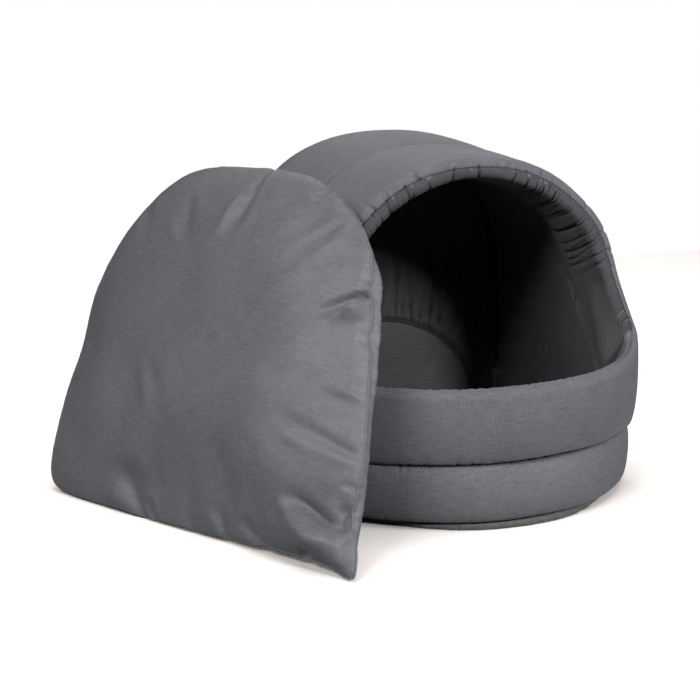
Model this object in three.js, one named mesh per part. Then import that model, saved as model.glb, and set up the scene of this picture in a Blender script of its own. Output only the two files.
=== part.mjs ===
// Soft dog house: padded cloth walls and hood on a felt base, with its own cushion leaning on one side.
// Millimetres, +Z up. The doorway faces -Y, and +X is to the right of someone who looks in.
import * as THREE from 'three';
import { mergeVertices } from 'three/addons/utils/BufferGeometryUtils.js';

// Footprint of the walls, measured from the plane in which the foot of the doorway stands
const HALF_WIDTH = 186;
const FRONT_BULGE = 104;
const BACK_DEPTH = 305;
const FRONT_CORNER_POWER = 1.5;
const BACK_ROUNDNESS = 12;
const INNER_BACK_ROUNDNESS = 24;

// Heights
const LOW_SEAM = 68;
const CREST_HEIGHT = 143;
const LIP_FOOT_HEIGHT = 160;
const SPRING_HEIGHT = 150;
const ROOF_FRONT = 354;
const ROOF_BACK = 366;

// Padding: full thickness between seams, how far a seam draws each face in, and the gap between pieces
const WALL = 28;
const SEAM_DRAW = 6;
const SEAM_FADE = 12;
const SWELL_POWER = 0.6;
const PIECE_GAP = 0.4;

// Felt under the base, and the floor panel that lies on it inside the walls
const FELT_THICKNESS = 5;
const FELT_INSET = 5;
const FLOOR_THICKNESS = 9;
const FLOOR_SHRINK = 0.03;
const FLOOR_BOTTOM = FELT_THICKNESS + PIECE_GAP;
const FLOOR_TOP = FLOOR_BOTTOM + FLOOR_THICKNESS;

// Hood: an arch-shaped belt in two channels, with a groove that leans back
const LIP_ROUNDNESS = 2.12;
const BELT_ROUNDNESS = 2.45;
const ARCH_STRETCH = 1.15;
const GROOVE_FOOT_Y = 8;
const GROOVE_LEAN = 0.51;
const GROOVE_TOP_Y = GROOVE_FOOT_Y + GROOVE_LEAN * (ROOF_FRONT - LOW_SEAM);
const LIP_LEAN = 0.1;
const LIP_CORNER_Y = -4;
const LIP_CORNER_POWER = 8;
const BELT_END_Y = 288;
const BELT_INNER_END_Y = 272;
const PANEL_SCALES = [1, 0.93, 0.8, 0.5, 0];

// Gathers where the cloth turns over the rounded lip of the doorway
const PLEATS_PER_SIDE = 11;
const PLEAT_DEPTH = 2.2;
const LIP_HALF_TURN = THREE.MathUtils.degToRad(80);

// Linings: thin sheets inside the hood and on the back wall, with a half disc at the foot of the back wall
const LINING_THICKNESS = 2;
const LINING_START = 0.2;
const LINING_END_Y = 266;
const LINING_CORNER = 8;
const DISC_RADIUS = 130;
const DISC_SQUAT = 0.92;
const GATHER_FOLDS = 22;
const GATHER_DEPTH = 2.5;

// Cushion: a filled D-shape that stands on its straight edge and leans on the left of the hood
const CUSHION_FOOT = new THREE.Vector2(-407, 182);
const CUSHION_DIRECTION = new THREE.Vector2(187, -361).normalize();
const CUSHION_LEAN = THREE.MathUtils.degToRad(23.8);
const CUSHION_HALF_THICKNESS = 31;
const CUSHION_SEAM = 2.5;
const CUSHION_CENTRE = new THREE.Vector2(183, 180);
const CUSHION_SINK = 2;
const CROWN_SPREAD = 2.4;
const CROWN_ROUNDING = 0.55;

// Cushion outline: along is the distance from the far corner, up is the distance from the straight edge
const CUSHION_OUTLINE = [
  { along: 6, up: 4 },
  { along: 200, up: 2 },
  { along: 388, up: 2 },
  { along: 405, up: 14 },
  { along: 399, up: 67 },
  { along: 372, up: 216 },
  { along: 334, up: 314 },
  { along: 243, up: 371 },
  { along: 150, up: 378 },
  { along: 60, up: 354 },
  { along: -4, up: 298 },
  { along: -30, up: 222 },
  { along: -25, up: 158 },
  { along: -32, up: 100 },
  { along: -20, up: 18 },
];

// Creases drawn in at the cushion's seam: where around the rim, how deep and how wide
const CUSHION_CREASES = [
  { degrees: -8, depth: 0.45, width: 7 },
  { degrees: 12, depth: 0.3, width: 6 },
  { degrees: 38, depth: 0.35, width: 8 },
  { degrees: 62, depth: 0.3, width: 7 },
  { degrees: 100, depth: 0.25, width: 9 },
  { degrees: 140, depth: 0.3, width: 9 },
  { degrees: 185, depth: 0.3, width: 8 },
  { degrees: 250, depth: 0.35, width: 8 },
  { degrees: 298, depth: 0.4, width: 7 },
];
const CREASE_FADE = 5;

// Mesh density
const BAND_STEPS = 64;
const OUTLINE_SAMPLES = 600;
const FRONT_STEPS = 16;
const PLEAT_STEPS = 4;
const BELT_STEPS = 44;
const CHANNEL_STEPS = 6;
const ROLL_STEPS = 4;
const CUSHION_STEPS = 60;
const CUSHION_RINGS = [1, 0.95, 0.86, 0.7, 0.46, 0.2];
const MERGE_DISTANCE = 1e-3;

const mix = THREE.MathUtils.lerp;
const fractions = (steps) => Array.from({ length: steps + 1 }, (_, i) => i / steps);
const signedPower = (value, power) => Math.sign(value) * Math.abs(value) ** power;

// How far the padding has swollen between two seams, 0 at each seam and 1 in the middle of the channel
const channelSwell = (part) => Math.sin(Math.PI * part) ** SWELL_POWER;

// How deep a face lies below the shell in the half channel that starts at a seam
const depthFromSeam = (part) => SEAM_DRAW * (1 - channelSwell(part / 2));

// Point of the footprint. Turn is 0 at the middle of the front and 1 at the middle of the back, and negative
// on the left. The front is a wide bow with tighter corners, the back is square with rounded corners.
function footprintPoint(turn, inset, height) {
  const angle = Math.PI * Math.abs(turn);
  const atFront = angle < Math.PI / 2;
  const roundness = mix(BACK_ROUNDNESS, INNER_BACK_ROUNDNESS, Math.min(inset / WALL, 1));
  const sidePower = atFront ? 1 : 2 / roundness;
  const depthPower = atFront ? FRONT_CORNER_POWER : 2 / roundness;
  const reach = (atFront ? FRONT_BULGE : BACK_DEPTH) - inset;
  const x = Math.sign(turn) * (HALF_WIDTH - inset) * Math.abs(Math.sin(angle)) ** sidePower;
  const y = -reach * signedPower(Math.cos(angle), depthPower);
  return new THREE.Vector3(x, y, height);
}

// Evenly spaced turns between two turns of the footprint
function evenTurns(from, to, steps) {
  const samples = fractions(OUTLINE_SAMPLES).map((part) => mix(from, to, part));
  const lengths = [0];
  for (let i = 1; i < samples.length; i += 1) {
    const step = footprintPoint(samples[i], 0, 0).distanceTo(footprintPoint(samples[i - 1], 0, 0));
    lengths.push(lengths[i - 1] + step);
  }
  const total = lengths[lengths.length - 1];
  return fractions(steps).map((part) => samples[lengths.findIndex((length) => length >= part * total - 1e-6)]);
}

// Turn at which the right side of the footprint reaches a given distance behind the doorway plane
function turnAtDepth(depth) {
  const reach = depth < 0 ? FRONT_BULGE : BACK_DEPTH;
  const power = depth < 0 ? FRONT_CORNER_POWER : 2 / BACK_ROUNDNESS;
  return Math.acos(-signedPower(depth / reach, 1 / power)) / Math.PI;
}

// How far the outer shell has drawn in where it turns the rear corner
function cornerInset(y) {
  const share = (Math.max(y, 0) / BACK_DEPTH) ** BACK_ROUNDNESS;
  return HALF_WIDTH * (1 - (1 - share) ** (1 / BACK_ROUNDNESS));
}

const roofHeight = (y) => mix(ROOF_FRONT, ROOF_BACK, THREE.MathUtils.clamp(y / BELT_END_Y, 0, 1));

// Cross-section of the hood: upright sides from the foot to the spring, then a full round arch.
// Part runs from 0 at the right foot, over 0.5 at the top, to 1 at the left foot.
function archSection(part, half, top, foot, roundness = BELT_ROUNDNESS) {
  const side = part <= 0.5 ? 1 : -1;
  const along = 1 - Math.abs(2 * part - 1);
  const upright = SPRING_HEIGHT - foot;
  const uprightShare = upright / (upright + ARCH_STRETCH * (top - SPRING_HEIGHT));
  if (along <= uprightShare) {
    return { x: side * half, z: mix(foot, SPRING_HEIGHT, along / uprightShare) };
  }
  const angle = ((along - uprightShare) / (1 - uprightShare)) * (Math.PI / 2);
  const x = side * half * Math.abs(Math.cos(angle)) ** (2 / roundness);
  const z = SPRING_HEIGHT + (top - SPRING_HEIGHT) * Math.sin(angle) ** (2 / roundness);
  return { x, z };
}

// Point of the groove between the two channels of the hood
function groovePoint(part, inset, shift) {
  const top = roofHeight(GROOVE_TOP_Y) - inset;
  const section = archSection(part, HALF_WIDTH - inset, top, LOW_SEAM + PIECE_GAP);
  const y = GROOVE_FOOT_Y + GROOVE_LEAN * (section.z - LOW_SEAM) + shift;
  return new THREE.Vector3(section.x, y, section.z);
}

// Point of the front edge of the hood, where the lip of the doorway reaches farthest forward
function lipPoint(part, inset) {
  const section = archSection(part, HALF_WIDTH - inset, ROOF_FRONT - inset, LIP_FOOT_HEIGHT, LIP_ROUNDNESS);
  return new THREE.Vector3(section.x, LIP_LEAN * (section.z - LIP_FOOT_HEIGHT), section.z);
}

// Point of the rear channel: across runs from 0 at the groove to 1 at the rear corner
function rearPoint(part, across, inset, endY) {
  const groove = groovePoint(part, inset, PIECE_GAP / 2);
  const y = mix(groove.y, endY, across);
  const isOuter = inset < WALL / 2;
  const drawn = inset + (isOuter ? cornerInset(y) : 0);
  const section = archSection(part, HALF_WIDTH - drawn, roofHeight(y) - drawn, LOW_SEAM + PIECE_GAP);
  return new THREE.Vector3(section.x, y, section.z);
}

// Indexed geometry of a closed surface: like points are merged, empty faces dropped, and the faces turned out
function solidGeometry(points, faces) {
  const raw = new THREE.BufferGeometry().setFromPoints(points);
  raw.setIndex(faces);
  const merged = mergeVertices(raw, MERGE_DISTANCE);
  const index = merged.getIndex().array;
  const kept = [];
  for (let i = 0; i < index.length; i += 3) {
    const [a, b, c] = [index[i], index[i + 1], index[i + 2]];
    if (a !== b && b !== c && c !== a) {
      kept.push([a, b, c]);
    }
  }
  const corner = (i) => new THREE.Vector3().fromBufferAttribute(merged.getAttribute('position'), i);
  const volume = kept.reduce((sum, [a, b, c]) => sum + corner(a).dot(corner(b).cross(corner(c))), 0);
  merged.setIndex(kept.flatMap(([a, b, c]) => (volume > 0 ? [a, b, c] : [a, c, b])));
  merged.computeVertexNormals();
  return merged;
}

// One closed solid between two matching grids of points: rows run around, columns run across
function padGeometry(outer, inner, closedAround) {
  const rows = outer.length;
  const columns = outer[0].length;
  const last = columns - 1;
  const out = (row, column) => (row % rows) * columns + column;
  const into = (row, column) => rows * columns + out(row, column);
  const faces = [];
  const quad = (a, b, c, d) => faces.push(a, b, c, a, c, d);
  const rowSteps = closedAround ? rows : rows - 1;
  for (let row = 0; row < rowSteps; row += 1) {
    const next = row + 1;
    for (let column = 0; column < last; column += 1) {
      quad(out(row, column), out(next, column), out(next, column + 1), out(row, column + 1));
      quad(into(row, column), into(row, column + 1), into(next, column + 1), into(next, column));
    }
    quad(into(row, 0), into(next, 0), out(next, 0), out(row, 0));
    quad(out(row, last), out(next, last), into(next, last), into(row, last));
  }
  if (!closedAround) {
    const end = rows - 1;
    for (let column = 0; column < last; column += 1) {
      quad(out(0, column), out(0, column + 1), into(0, column + 1), into(0, column));
      quad(into(end, column), into(end, column + 1), out(end, column + 1), out(end, column));
    }
  }
  return solidGeometry([...outer.flat(), ...inner.flat()], faces);
}

// One closed solid between two stacks of matching rings, rim first, each closed by a point at its middle
function discGeometry(frontRings, backRings, frontMiddle, backMiddle) {
  const count = frontRings[0].length;
  const points = [];
  const faces = [];
  const addHalf = (rings, middle, flipped) => {
    const start = points.length;
    points.push(...rings.flat(), middle);
    const centre = points.length - 1;
    const innermost = centre - count;
    const triangle = (a, b, c) => faces.push(...(flipped ? [a, c, b] : [a, b, c]));
    for (let i = 0; i < count; i += 1) {
      const next = (i + 1) % count;
      for (let near = start; near < innermost; near += count) {
        const far = near + count;
        triangle(near + i, near + next, far + next);
        triangle(near + i, far + next, far + i);
      }
      triangle(innermost + i, innermost + next, centre);
    }
    return start;
  };
  const front = addHalf(frontRings, frontMiddle, false);
  const back = addHalf(backRings, backMiddle, true);
  for (let i = 0; i < count; i += 1) {
    const next = (i + 1) % count;
    faces.push(front + i, back + i, back + next);
    faces.push(front + i, back + next, front + next);
  }
  return solidGeometry(points, faces);
}

// Flat plate that fills the footprint between two heights, shrunk a little about its middle
function footprintPlate(inset, shrink, bottom, top) {
  const turns = evenTurns(-1, 1, BAND_STEPS).slice(0, -1);
  const middle = (height) => new THREE.Vector3(0, (BACK_DEPTH - FRONT_BULGE) / 2, height);
  const ring = (height) => {
    const centre = middle(height);
    return turns.map((turn) => footprintPoint(turn, inset, height).lerp(centre, shrink));
  };
  return discGeometry([ring(top)], [ring(bottom)], middle(top), middle(bottom));
}

// Lower wall: one swollen channel all around, standing on the felt
function lowerBand() {
  const bottom = FELT_THICKNESS + PIECE_GAP;
  const top = LOW_SEAM - PIECE_GAP;
  const turns = evenTurns(-1, 1, BAND_STEPS).slice(0, -1);
  const face = (insetAt) =>
    turns.map((turn) =>
      fractions(CHANNEL_STEPS).map((part) => {
        const drawn = SEAM_DRAW * (1 - channelSwell(part));
        return footprintPoint(turn, insetAt(drawn), mix(bottom, top, part));
      }),
    );
  const outer = face((drawn) => drawn);
  const inner = face((drawn) => WALL - drawn);
  return padGeometry(outer, inner, true);
}

// Stations around the doorway on one shell of the wall. Each pairs a point of the sewn edge, below and behind,
// with a point of the lip. Fold is 1 where a pleat draws the lip in.
function frontStations(inset) {
  const sewnTurns = evenTurns(0, turnAtDepth(GROOVE_FOOT_Y), FRONT_STEPS);
  const lipTurns = evenTurns(0, turnAtDepth(LIP_CORNER_Y), FRONT_STEPS);
  const wallStation = (index, side) => {
    const rise = (LIP_FOOT_HEIGHT - CREST_HEIGHT) * (index / FRONT_STEPS) ** LIP_CORNER_POWER;
    const sewn = footprintPoint(side * sewnTurns[index], inset, LOW_SEAM + PIECE_GAP);
    const lip = footprintPoint(side * lipTurns[index], inset, CREST_HEIGHT + rise);
    return { sewn, lip, fold: 0 };
  };
  const archStation = (part, index) => {
    const isPleat = index % PLEAT_STEPS === 0;
    const fold = isPleat ? Math.sin(Math.PI * part) ** 0.5 : 0;
    return { sewn: groovePoint(part, inset, -PIECE_GAP / 2), lip: lipPoint(part, inset), fold };
  };
  const wallIndices = Array.from({ length: FRONT_STEPS }, (_, i) => i);
  const right = wallIndices.slice(1).map((index) => wallStation(index, 1));
  const arch = fractions(2 * PLEATS_PER_SIDE * PLEAT_STEPS).map(archStation);
  const left = wallIndices.toReversed().map((index) => wallStation(index, -1));
  return [...right, ...arch, ...left];
}

// Front piece: the upper front wall and the front channel of the hood, one padded ring around the doorway
function frontHood() {
  const outerStations = frontStations(0);
  const innerStations = frontStations(WALL);
  const roll = WALL / 2;
  const face = (isInner) =>
    outerStations.map((outer, index) => {
      const inner = innerStations[index];
      const span = outer.sewn.distanceTo(outer.lip);
      const drawn = PLEAT_DEPTH * outer.fold;
      const pointAt = (across, depth) => {
        const share = isInner ? 1 - depth / WALL : depth / WALL;
        const onOuter = outer.sewn.clone().lerp(outer.lip, across / span);
        const onInner = inner.sewn.clone().lerp(inner.lip, across / span);
        return onOuter.lerp(onInner, share);
      };
      const channel = fractions(CHANNEL_STEPS - 1).map((part) =>
        pointAt(part * (span - roll), depthFromSeam(part) + drawn * part ** 4),
      );
      const lip = fractions(ROLL_STEPS).slice(1).map((part) => {
        const angle = part * LIP_HALF_TURN;
        const radius = roll - drawn;
        return pointAt(span - roll + radius * Math.sin(angle), roll - radius * Math.cos(angle));
      });
      return [...channel, ...lip];
    });
  return padGeometry(face(false), face(true), true);
}

// Rear channel of the hood, from the groove to the corner at the back
function backHood() {
  const face = (insetAt, endY) =>
    fractions(BELT_STEPS).map((part) =>
      fractions(CHANNEL_STEPS).map((across) => rearPoint(part, across, insetAt(depthFromSeam(across)), endY)),
    );
  const outer = face((depth) => depth, BELT_END_Y);
  const inner = face((depth) => WALL - depth, BELT_INNER_END_Y);
  return padGeometry(outer, inner, false);
}

// Back panel: a padded D-shaped end that closes the rear of the hood. Rays run from the middle of its foot.
function backPanel() {
  const foot = LOW_SEAM + PIECE_GAP;
  const face = (half, top, depthAt) =>
    fractions(BELT_STEPS).map((part) => {
      const rim = archSection(part, half, top, foot);
      return PANEL_SCALES.map((scale) => {
        const z = mix(foot, rim.z, scale);
        return new THREE.Vector3(rim.x * scale, depthAt(scale, z), z);
      });
    });
  const outerDraw = cornerInset(BELT_END_Y) + PIECE_GAP;
  const outerHalf = HALF_WIDTH - outerDraw;
  const outerDepth = (scale, z) => {
    const sideShare = (BACK_DEPTH * scale * outerHalf) / HALF_WIDTH;
    const flat = BACK_DEPTH * (1 - cornerInset(sideShare) / HALF_WIDTH);
    const pinch = SEAM_DRAW * Math.exp((LOW_SEAM - z) / SEAM_FADE) * (1 - scale ** BACK_ROUNDNESS);
    return flat + PIECE_GAP - pinch;
  };
  const innerDraw = WALL + PIECE_GAP;
  const outer = face(outerHalf, ROOF_BACK - outerDraw, outerDepth);
  const inner = face(HALF_WIDTH - innerDraw, ROOF_BACK - innerDraw, () => BELT_INNER_END_Y + PIECE_GAP);
  return padGeometry(outer, inner, false);
}

// Lining of the hood: a thin sheet on the inside of both channels, from the lip to the back
function hoodLining() {
  const skin = (inset) =>
    fractions(BELT_STEPS).map((part) => {
      const lip = lipPoint(part, inset);
      const crease = groovePoint(part, inset, 0);
      const front = fractions(2).map((across) => lip.clone().lerp(crease, mix(LINING_START, 1, across)));
      const rear = fractions(3).slice(1).map((across) => rearPoint(part, across, inset, LINING_END_Y));
      return [...front, ...rear];
    });
  return padGeometry(skin(WALL + PIECE_GAP), skin(WALL + PIECE_GAP + LINING_THICKNESS), false);
}

// Half disc of lining that stands on the floor against the back wall
function backDisc() {
  const foot = FLOOR_TOP + PIECE_GAP;
  const back = BELT_INNER_END_Y - PIECE_GAP;
  const skin = (y) =>
    fractions(BELT_STEPS).map((part) => {
      const angle = Math.PI * part;
      return [1, 0.5, 0].map((scale) => {
        const radius = scale * (DISC_RADIUS - PIECE_GAP);
        return new THREE.Vector3(radius * Math.cos(angle), y, foot + DISC_SQUAT * radius * Math.sin(angle));
      });
    });
  return padGeometry(skin(back), skin(back - LINING_THICKNESS), false);
}

// Back lining: a crescent gathered around the half disc and spread out below the roof
function backLining() {
  const foot = FLOOR_TOP + PIECE_GAP;
  const draw = WALL + LINING_CORNER;
  const back = BELT_INNER_END_Y - PIECE_GAP;
  const skin = (thickness) =>
    fractions(2 * GATHER_FOLDS).map((part, index) => {
      const angle = Math.PI * part;
      const disc = { x: DISC_RADIUS * Math.cos(angle), z: foot + DISC_SQUAT * DISC_RADIUS * Math.sin(angle) };
      const rim = archSection(part, HALF_WIDTH - draw, ROOF_BACK - draw, foot);
      return fractions(3).map((out) => {
        const fold = index % 2 === 0 ? 0 : GATHER_DEPTH * (1 - out) ** 1.5;
        return new THREE.Vector3(mix(disc.x, rim.x, out), back - thickness - fold, mix(disc.z, rim.z, out));
      });
    });
  return padGeometry(skin(0), skin(LINING_THICKNESS), false);
}

// Point of the cushion: along its foot, up its slope, and depth from the seam towards the hood
function cushionPoint(along, up, depth) {
  const sine = Math.sin(CUSHION_LEAN);
  const cosine = Math.cos(CUSHION_LEAN);
  const reach = up * sine + depth * cosine;
  const x = CUSHION_FOOT.x + CUSHION_DIRECTION.x * along - CUSHION_DIRECTION.y * reach;
  const y = CUSHION_FOOT.y + CUSHION_DIRECTION.y * along + CUSHION_DIRECTION.x * reach;
  const z = up * cosine - depth * sine - CUSHION_SINK;
  return new THREE.Vector3(x, y, Math.max(z, 0));
}

// Share of the filling's height that the creases leave at a place around the rim
function creaseShare(degrees, scale) {
  return CUSHION_CREASES.reduce((share, crease) => {
    const turned = ((degrees - crease.degrees + 540) % 360) - 180;
    return share * (1 - crease.depth * scale ** CREASE_FADE * Math.exp(-((turned / crease.width) ** 2)));
  }, 1);
}

// Cushion: one filled solid with a crown on both faces, drawn in to a sewn edge
function cushion() {
  const controls = CUSHION_OUTLINE.map(({ along, up }) => new THREE.Vector3(along, up, 0));
  const curve = new THREE.CatmullRomCurve3(controls, true, 'centripetal');
  const outline = curve.getSpacedPoints(CUSHION_STEPS).slice(0, -1);
  const centre = CUSHION_CENTRE;
  const ring = (scale, side) =>
    outline.map((point) => {
      const degrees = THREE.MathUtils.radToDeg(Math.atan2(point.y - centre.y, point.x - centre.x));
      const crown = (1 - scale ** CROWN_SPREAD) ** CROWN_ROUNDING * creaseShare(degrees, scale);
      const depth = side * mix(CUSHION_SEAM, CUSHION_HALF_THICKNESS, crown);
      return cushionPoint(mix(centre.x, point.x, scale), mix(centre.y, point.y, scale), depth);
    });
  const stack = (side) => CUSHION_RINGS.map((scale) => ring(scale, side));
  const middle = (side) => cushionPoint(centre.x, centre.y, side * CUSHION_HALF_THICKNESS);
  return discGeometry(stack(-1), stack(1), middle(-1), middle(1));
}

const cloth = (color, roughness) => new THREE.MeshStandardMaterial({ color, roughness, metalness: 0 });
const upperCloth = cloth('#74757a', 0.82);
const lowerCloth = cloth('#68696e', 0.84);
const cushionCloth = cloth('#646569', 0.8);
const liningCloth = cloth('#5c5d62', 0.86);
const felt = cloth('#8b8a88', 0.95);

const feltPlate = footprintPlate(FELT_INSET, 0, 0, FELT_THICKNESS);
const floorPlate = footprintPlate(WALL, FLOOR_SHRINK, FLOOR_BOTTOM, FLOOR_TOP);

const pieces = [
  { name: 'base_felt', geometry: feltPlate, material: felt },
  { name: 'floor_panel', geometry: floorPlate, material: liningCloth },
  { name: 'lower_band', geometry: lowerBand(), material: lowerCloth },
  { name: 'front_hood', geometry: frontHood(), material: upperCloth },
  { name: 'back_hood', geometry: backHood(), material: upperCloth },
  { name: 'back_panel', geometry: backPanel(), material: upperCloth },
  { name: 'hood_lining', geometry: hoodLining(), material: liningCloth },
  { name: 'back_lining', geometry: backLining(), material: liningCloth },
  { name: 'back_disc', geometry: backDisc(), material: liningCloth },
  { name: 'cushion', geometry: cushion(), material: cushionCloth },
];

// The origin is the middle of the footprint, on the underside of the felt
const dogHouse = new THREE.Group();
dogHouse.position.y = (FRONT_BULGE - BACK_DEPTH) / 2;
for (const { name, geometry, material } of pieces) {
  const mesh = new THREE.Mesh(geometry, material);
  mesh.name = name;
  dogHouse.add(mesh);
}

export default dogHouse;
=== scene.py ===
"""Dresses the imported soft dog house: padded walls and hood, gathered lining, felt base and a filled cushion.

Sizes in the classes are millimetres, measured from the plane in which the foot of the doorway stands.
Finished meshes are in metres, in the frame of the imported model.
"""

from __future__ import annotations
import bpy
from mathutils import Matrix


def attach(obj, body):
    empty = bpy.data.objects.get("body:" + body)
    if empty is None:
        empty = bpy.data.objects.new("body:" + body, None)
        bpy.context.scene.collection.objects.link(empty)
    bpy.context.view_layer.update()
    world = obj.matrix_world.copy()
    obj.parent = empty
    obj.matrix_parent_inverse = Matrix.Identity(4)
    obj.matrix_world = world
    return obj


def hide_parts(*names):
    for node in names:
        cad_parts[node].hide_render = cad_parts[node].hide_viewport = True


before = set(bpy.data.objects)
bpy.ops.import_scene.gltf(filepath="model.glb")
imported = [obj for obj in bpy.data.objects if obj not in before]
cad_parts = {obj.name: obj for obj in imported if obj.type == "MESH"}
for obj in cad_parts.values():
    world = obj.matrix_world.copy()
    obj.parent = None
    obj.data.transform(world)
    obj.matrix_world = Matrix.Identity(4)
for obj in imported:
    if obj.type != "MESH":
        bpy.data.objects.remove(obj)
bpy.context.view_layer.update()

import logging
import math
from dataclasses import dataclass
from enum import Enum
from typing import Sequence

import bmesh
import bpy
import numpy as np
from mathutils import Vector
from mathutils.geometry import delaunay_2d_cdt

log = logging.getLogger("dog_house")

MM = 0.001
DOORWAY_Y = -100.5
BODY = "root"
WELD_DISTANCE = 2e-6
TINY = 1e-9
# Length that no seam reaches, for folds that never repeat
ENDLESS = 1e4


class Slot(Enum):
    """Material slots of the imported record."""

    OUTER = "outer_cloth"
    LINING = "lining_cloth"
    CUSHION = "cushion_cloth"
    FELT = "base_felt"


class Hold(Enum):
    """How a sheet of cloth is held."""

    STRETCHED = "stretched"
    GATHERED = "gathered"


def mix(start: np.ndarray | float, end: np.ndarray | float, share: np.ndarray | float) -> np.ndarray:
    """Blends from start, where share is 0, to end, where share is 1."""
    return start + (end - start) * share


def smooth(value: np.ndarray, low: float, high: float) -> np.ndarray:
    """Rises gently from 0, where value is low, to 1, where value is high."""
    share = np.clip((value - low) / (high - low), 0.0, 1.0)
    return share * share * (3.0 - 2.0 * share)


def signed_power(value: np.ndarray, power: float) -> np.ndarray:
    """Raises a value to a power and keeps its sign."""
    return np.sign(value) * np.abs(value) ** power


def lengths_along(points: np.ndarray) -> np.ndarray:
    """Measures how far each point of a line, along the first axis, lies from the first one."""
    steps = np.linalg.norm(np.diff(points, axis=0), axis=-1)
    return np.concatenate([np.zeros((1, *steps.shape[1:])), np.cumsum(steps, axis=0)])


def to_row_frame(points: np.ndarray) -> np.ndarray:
    """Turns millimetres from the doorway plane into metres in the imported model's frame."""
    return (points + np.array([0.0, DOORWAY_Y, 0.0])) * MM


@dataclass(frozen=True)
class HouseForm:
    """Outer and inner shell of the house, as sections and footprints."""

    half_width: float = 186.0
    front_bulge: float = 104.0
    back_depth: float = 305.0
    front_corner_power: float = 1.5
    back_roundness: float = 12.0
    inner_back_roundness: float = 24.0
    felt_top: float = 5.0
    floor_top: float = 14.4
    low_seam: float = 65.6
    crest: float = 143.0
    lip_foot: float = 160.0
    spring: float = 150.0
    roof_front: float = 354.0
    roof_back: float = 366.0
    wall: float = 28.0
    piece_gap: float = 0.4
    belt_roundness: float = 2.45
    lip_roundness: float = 2.12
    arch_stretch: float = 1.15
    groove_foot: float = 8.0
    groove_lean: float = 0.51
    groove_bend: float = 15.0
    lip_lean: float = 0.1
    # How far the lip's outline departs from a plain arch, at which height and over what reach
    waist: tuple[float, float, float] = (8.0, 225.0, 42.0)
    flare: tuple[float, float, float] = (5.5, 160.0, 21.0)
    fullness: tuple[float, float, float] = (4.2, 288.0, 38.0)
    shoulder: tuple[float, float, float] = (3.2, 336.0, 20.0)
    foot_narrowing: float = 8.0
    seam_narrowing: float = 0.45
    foot_forward: float = 4.0
    belt_end: float = 288.0
    belt_inner_end: float = 272.0
    lining_end: float = 266.0
    outline_samples: int = 1600
    # How close to a front corner, and how far from it, the walls are sampled more finely
    corner_samples: tuple[float, float, int] = (1e-14, 0.02, 600)

    @property
    def middle(self) -> np.ndarray:
        """Middle of the footprint, on the floor."""
        return np.array([0.0, (self.back_depth - self.front_bulge) / 2, 0.0])

    def footprint(self, turn: np.ndarray, inset: np.ndarray | float, height: np.ndarray | float) -> np.ndarray:
        """Places points on the walls.

        Args:
            turn: 0 at the middle of the front, 1 at the middle of the back, negative on the left.
            inset: Distance inside the outer shell.
            height: Height above the floor.

        Returns:
            The points, three numbers each.
        """
        turn, inset, height = np.broadcast_arrays(turn, inset, height)
        angle = np.pi * np.abs(turn)
        front = angle < np.pi / 2
        share = np.minimum(inset / self.wall, 1.0)
        power = 2.0 / mix(self.back_roundness, self.inner_back_roundness, share)
        side_power = np.where(front, 1.0, power)
        depth_power = np.where(front, self.front_corner_power, power)
        reach = np.where(front, self.front_bulge, self.back_depth) - inset
        x = np.sign(turn) * (self.half_width - inset) * np.abs(np.sin(angle)) ** side_power
        y = -reach * signed_power(np.cos(angle), depth_power)
        return np.stack([x, y, height], -1)

    def foot_shift(self, points: np.ndarray) -> np.ndarray:
        """Tucks the foot of the house in at its sides and lets it stand a little forward.

        Args:
            points: Points of the lower wall or of the base.

        Returns:
            The moved points.
        """
        rise = np.clip(points[..., 2] / self.low_seam, 0.0, 1.0)
        moved = points.copy()
        narrowing = self.foot_narrowing * mix(1.0, self.seam_narrowing, rise)
        moved[..., 0] *= 1.0 - narrowing / self.half_width
        moved[..., 1] -= self.foot_forward * smooth(-points[..., 1], 0.0, self.front_bulge) * (1.0 - rise)
        return moved

    def even_turns(self, start: float, end: float, shares: np.ndarray) -> np.ndarray:
        """Finds turns at even distances along the walls.

        Args:
            start: First turn.
            end: Last turn.
            shares: Shares of the distance between them.

        Returns:
            The turn at each share.
        """
        # The wall runs far within a small turn behind each front corner
        near = np.geomspace(*self.corner_samples)
        corners = np.concatenate([side * 0.5 + way * near for side in (-1.0, 1.0) for way in (-1.0, 1.0)])
        corners = corners[(corners > start) & (corners < end)]
        samples = np.union1d(np.linspace(start, end, self.outline_samples), corners)
        lengths = lengths_along(self.footprint(samples, 0.0, 0.0))
        return np.interp(shares * lengths[-1], lengths, samples)

    def around(self, count: int) -> np.ndarray:
        """Gives turns at even distances all around the walls."""
        return self.even_turns(-1.0, 1.0, np.arange(count) / count)

    def turn_at_depth(self, depth: float) -> float:
        """Finds where the right wall reaches a depth behind the doorway plane.

        Args:
            depth: The depth, negative in front of the plane.

        Returns:
            The turn.
        """
        reach = self.front_bulge if depth < 0 else self.back_depth
        power = self.front_corner_power if depth < 0 else 2.0 / self.back_roundness
        return float(np.arccos(-signed_power(np.array(depth / reach), 1.0 / power)) / np.pi)

    def corner_inset(self, y: np.ndarray) -> np.ndarray:
        """Tells how far the outer shell has drawn in at the rear corner.

        Args:
            y: Distance behind the doorway plane.

        Returns:
            The inset.
        """
        share = np.clip(np.maximum(y, 0.0) / self.back_depth, 0.0, 1.0) ** self.back_roundness
        return self.half_width * (1.0 - (1.0 - share) ** (1.0 / self.back_roundness))

    def roof(self, y: np.ndarray) -> np.ndarray:
        """Gives the height of the roof at distances behind the doorway plane."""
        return mix(self.roof_front, self.roof_back, np.clip(y / self.belt_end, 0.0, 1.0))

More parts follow.
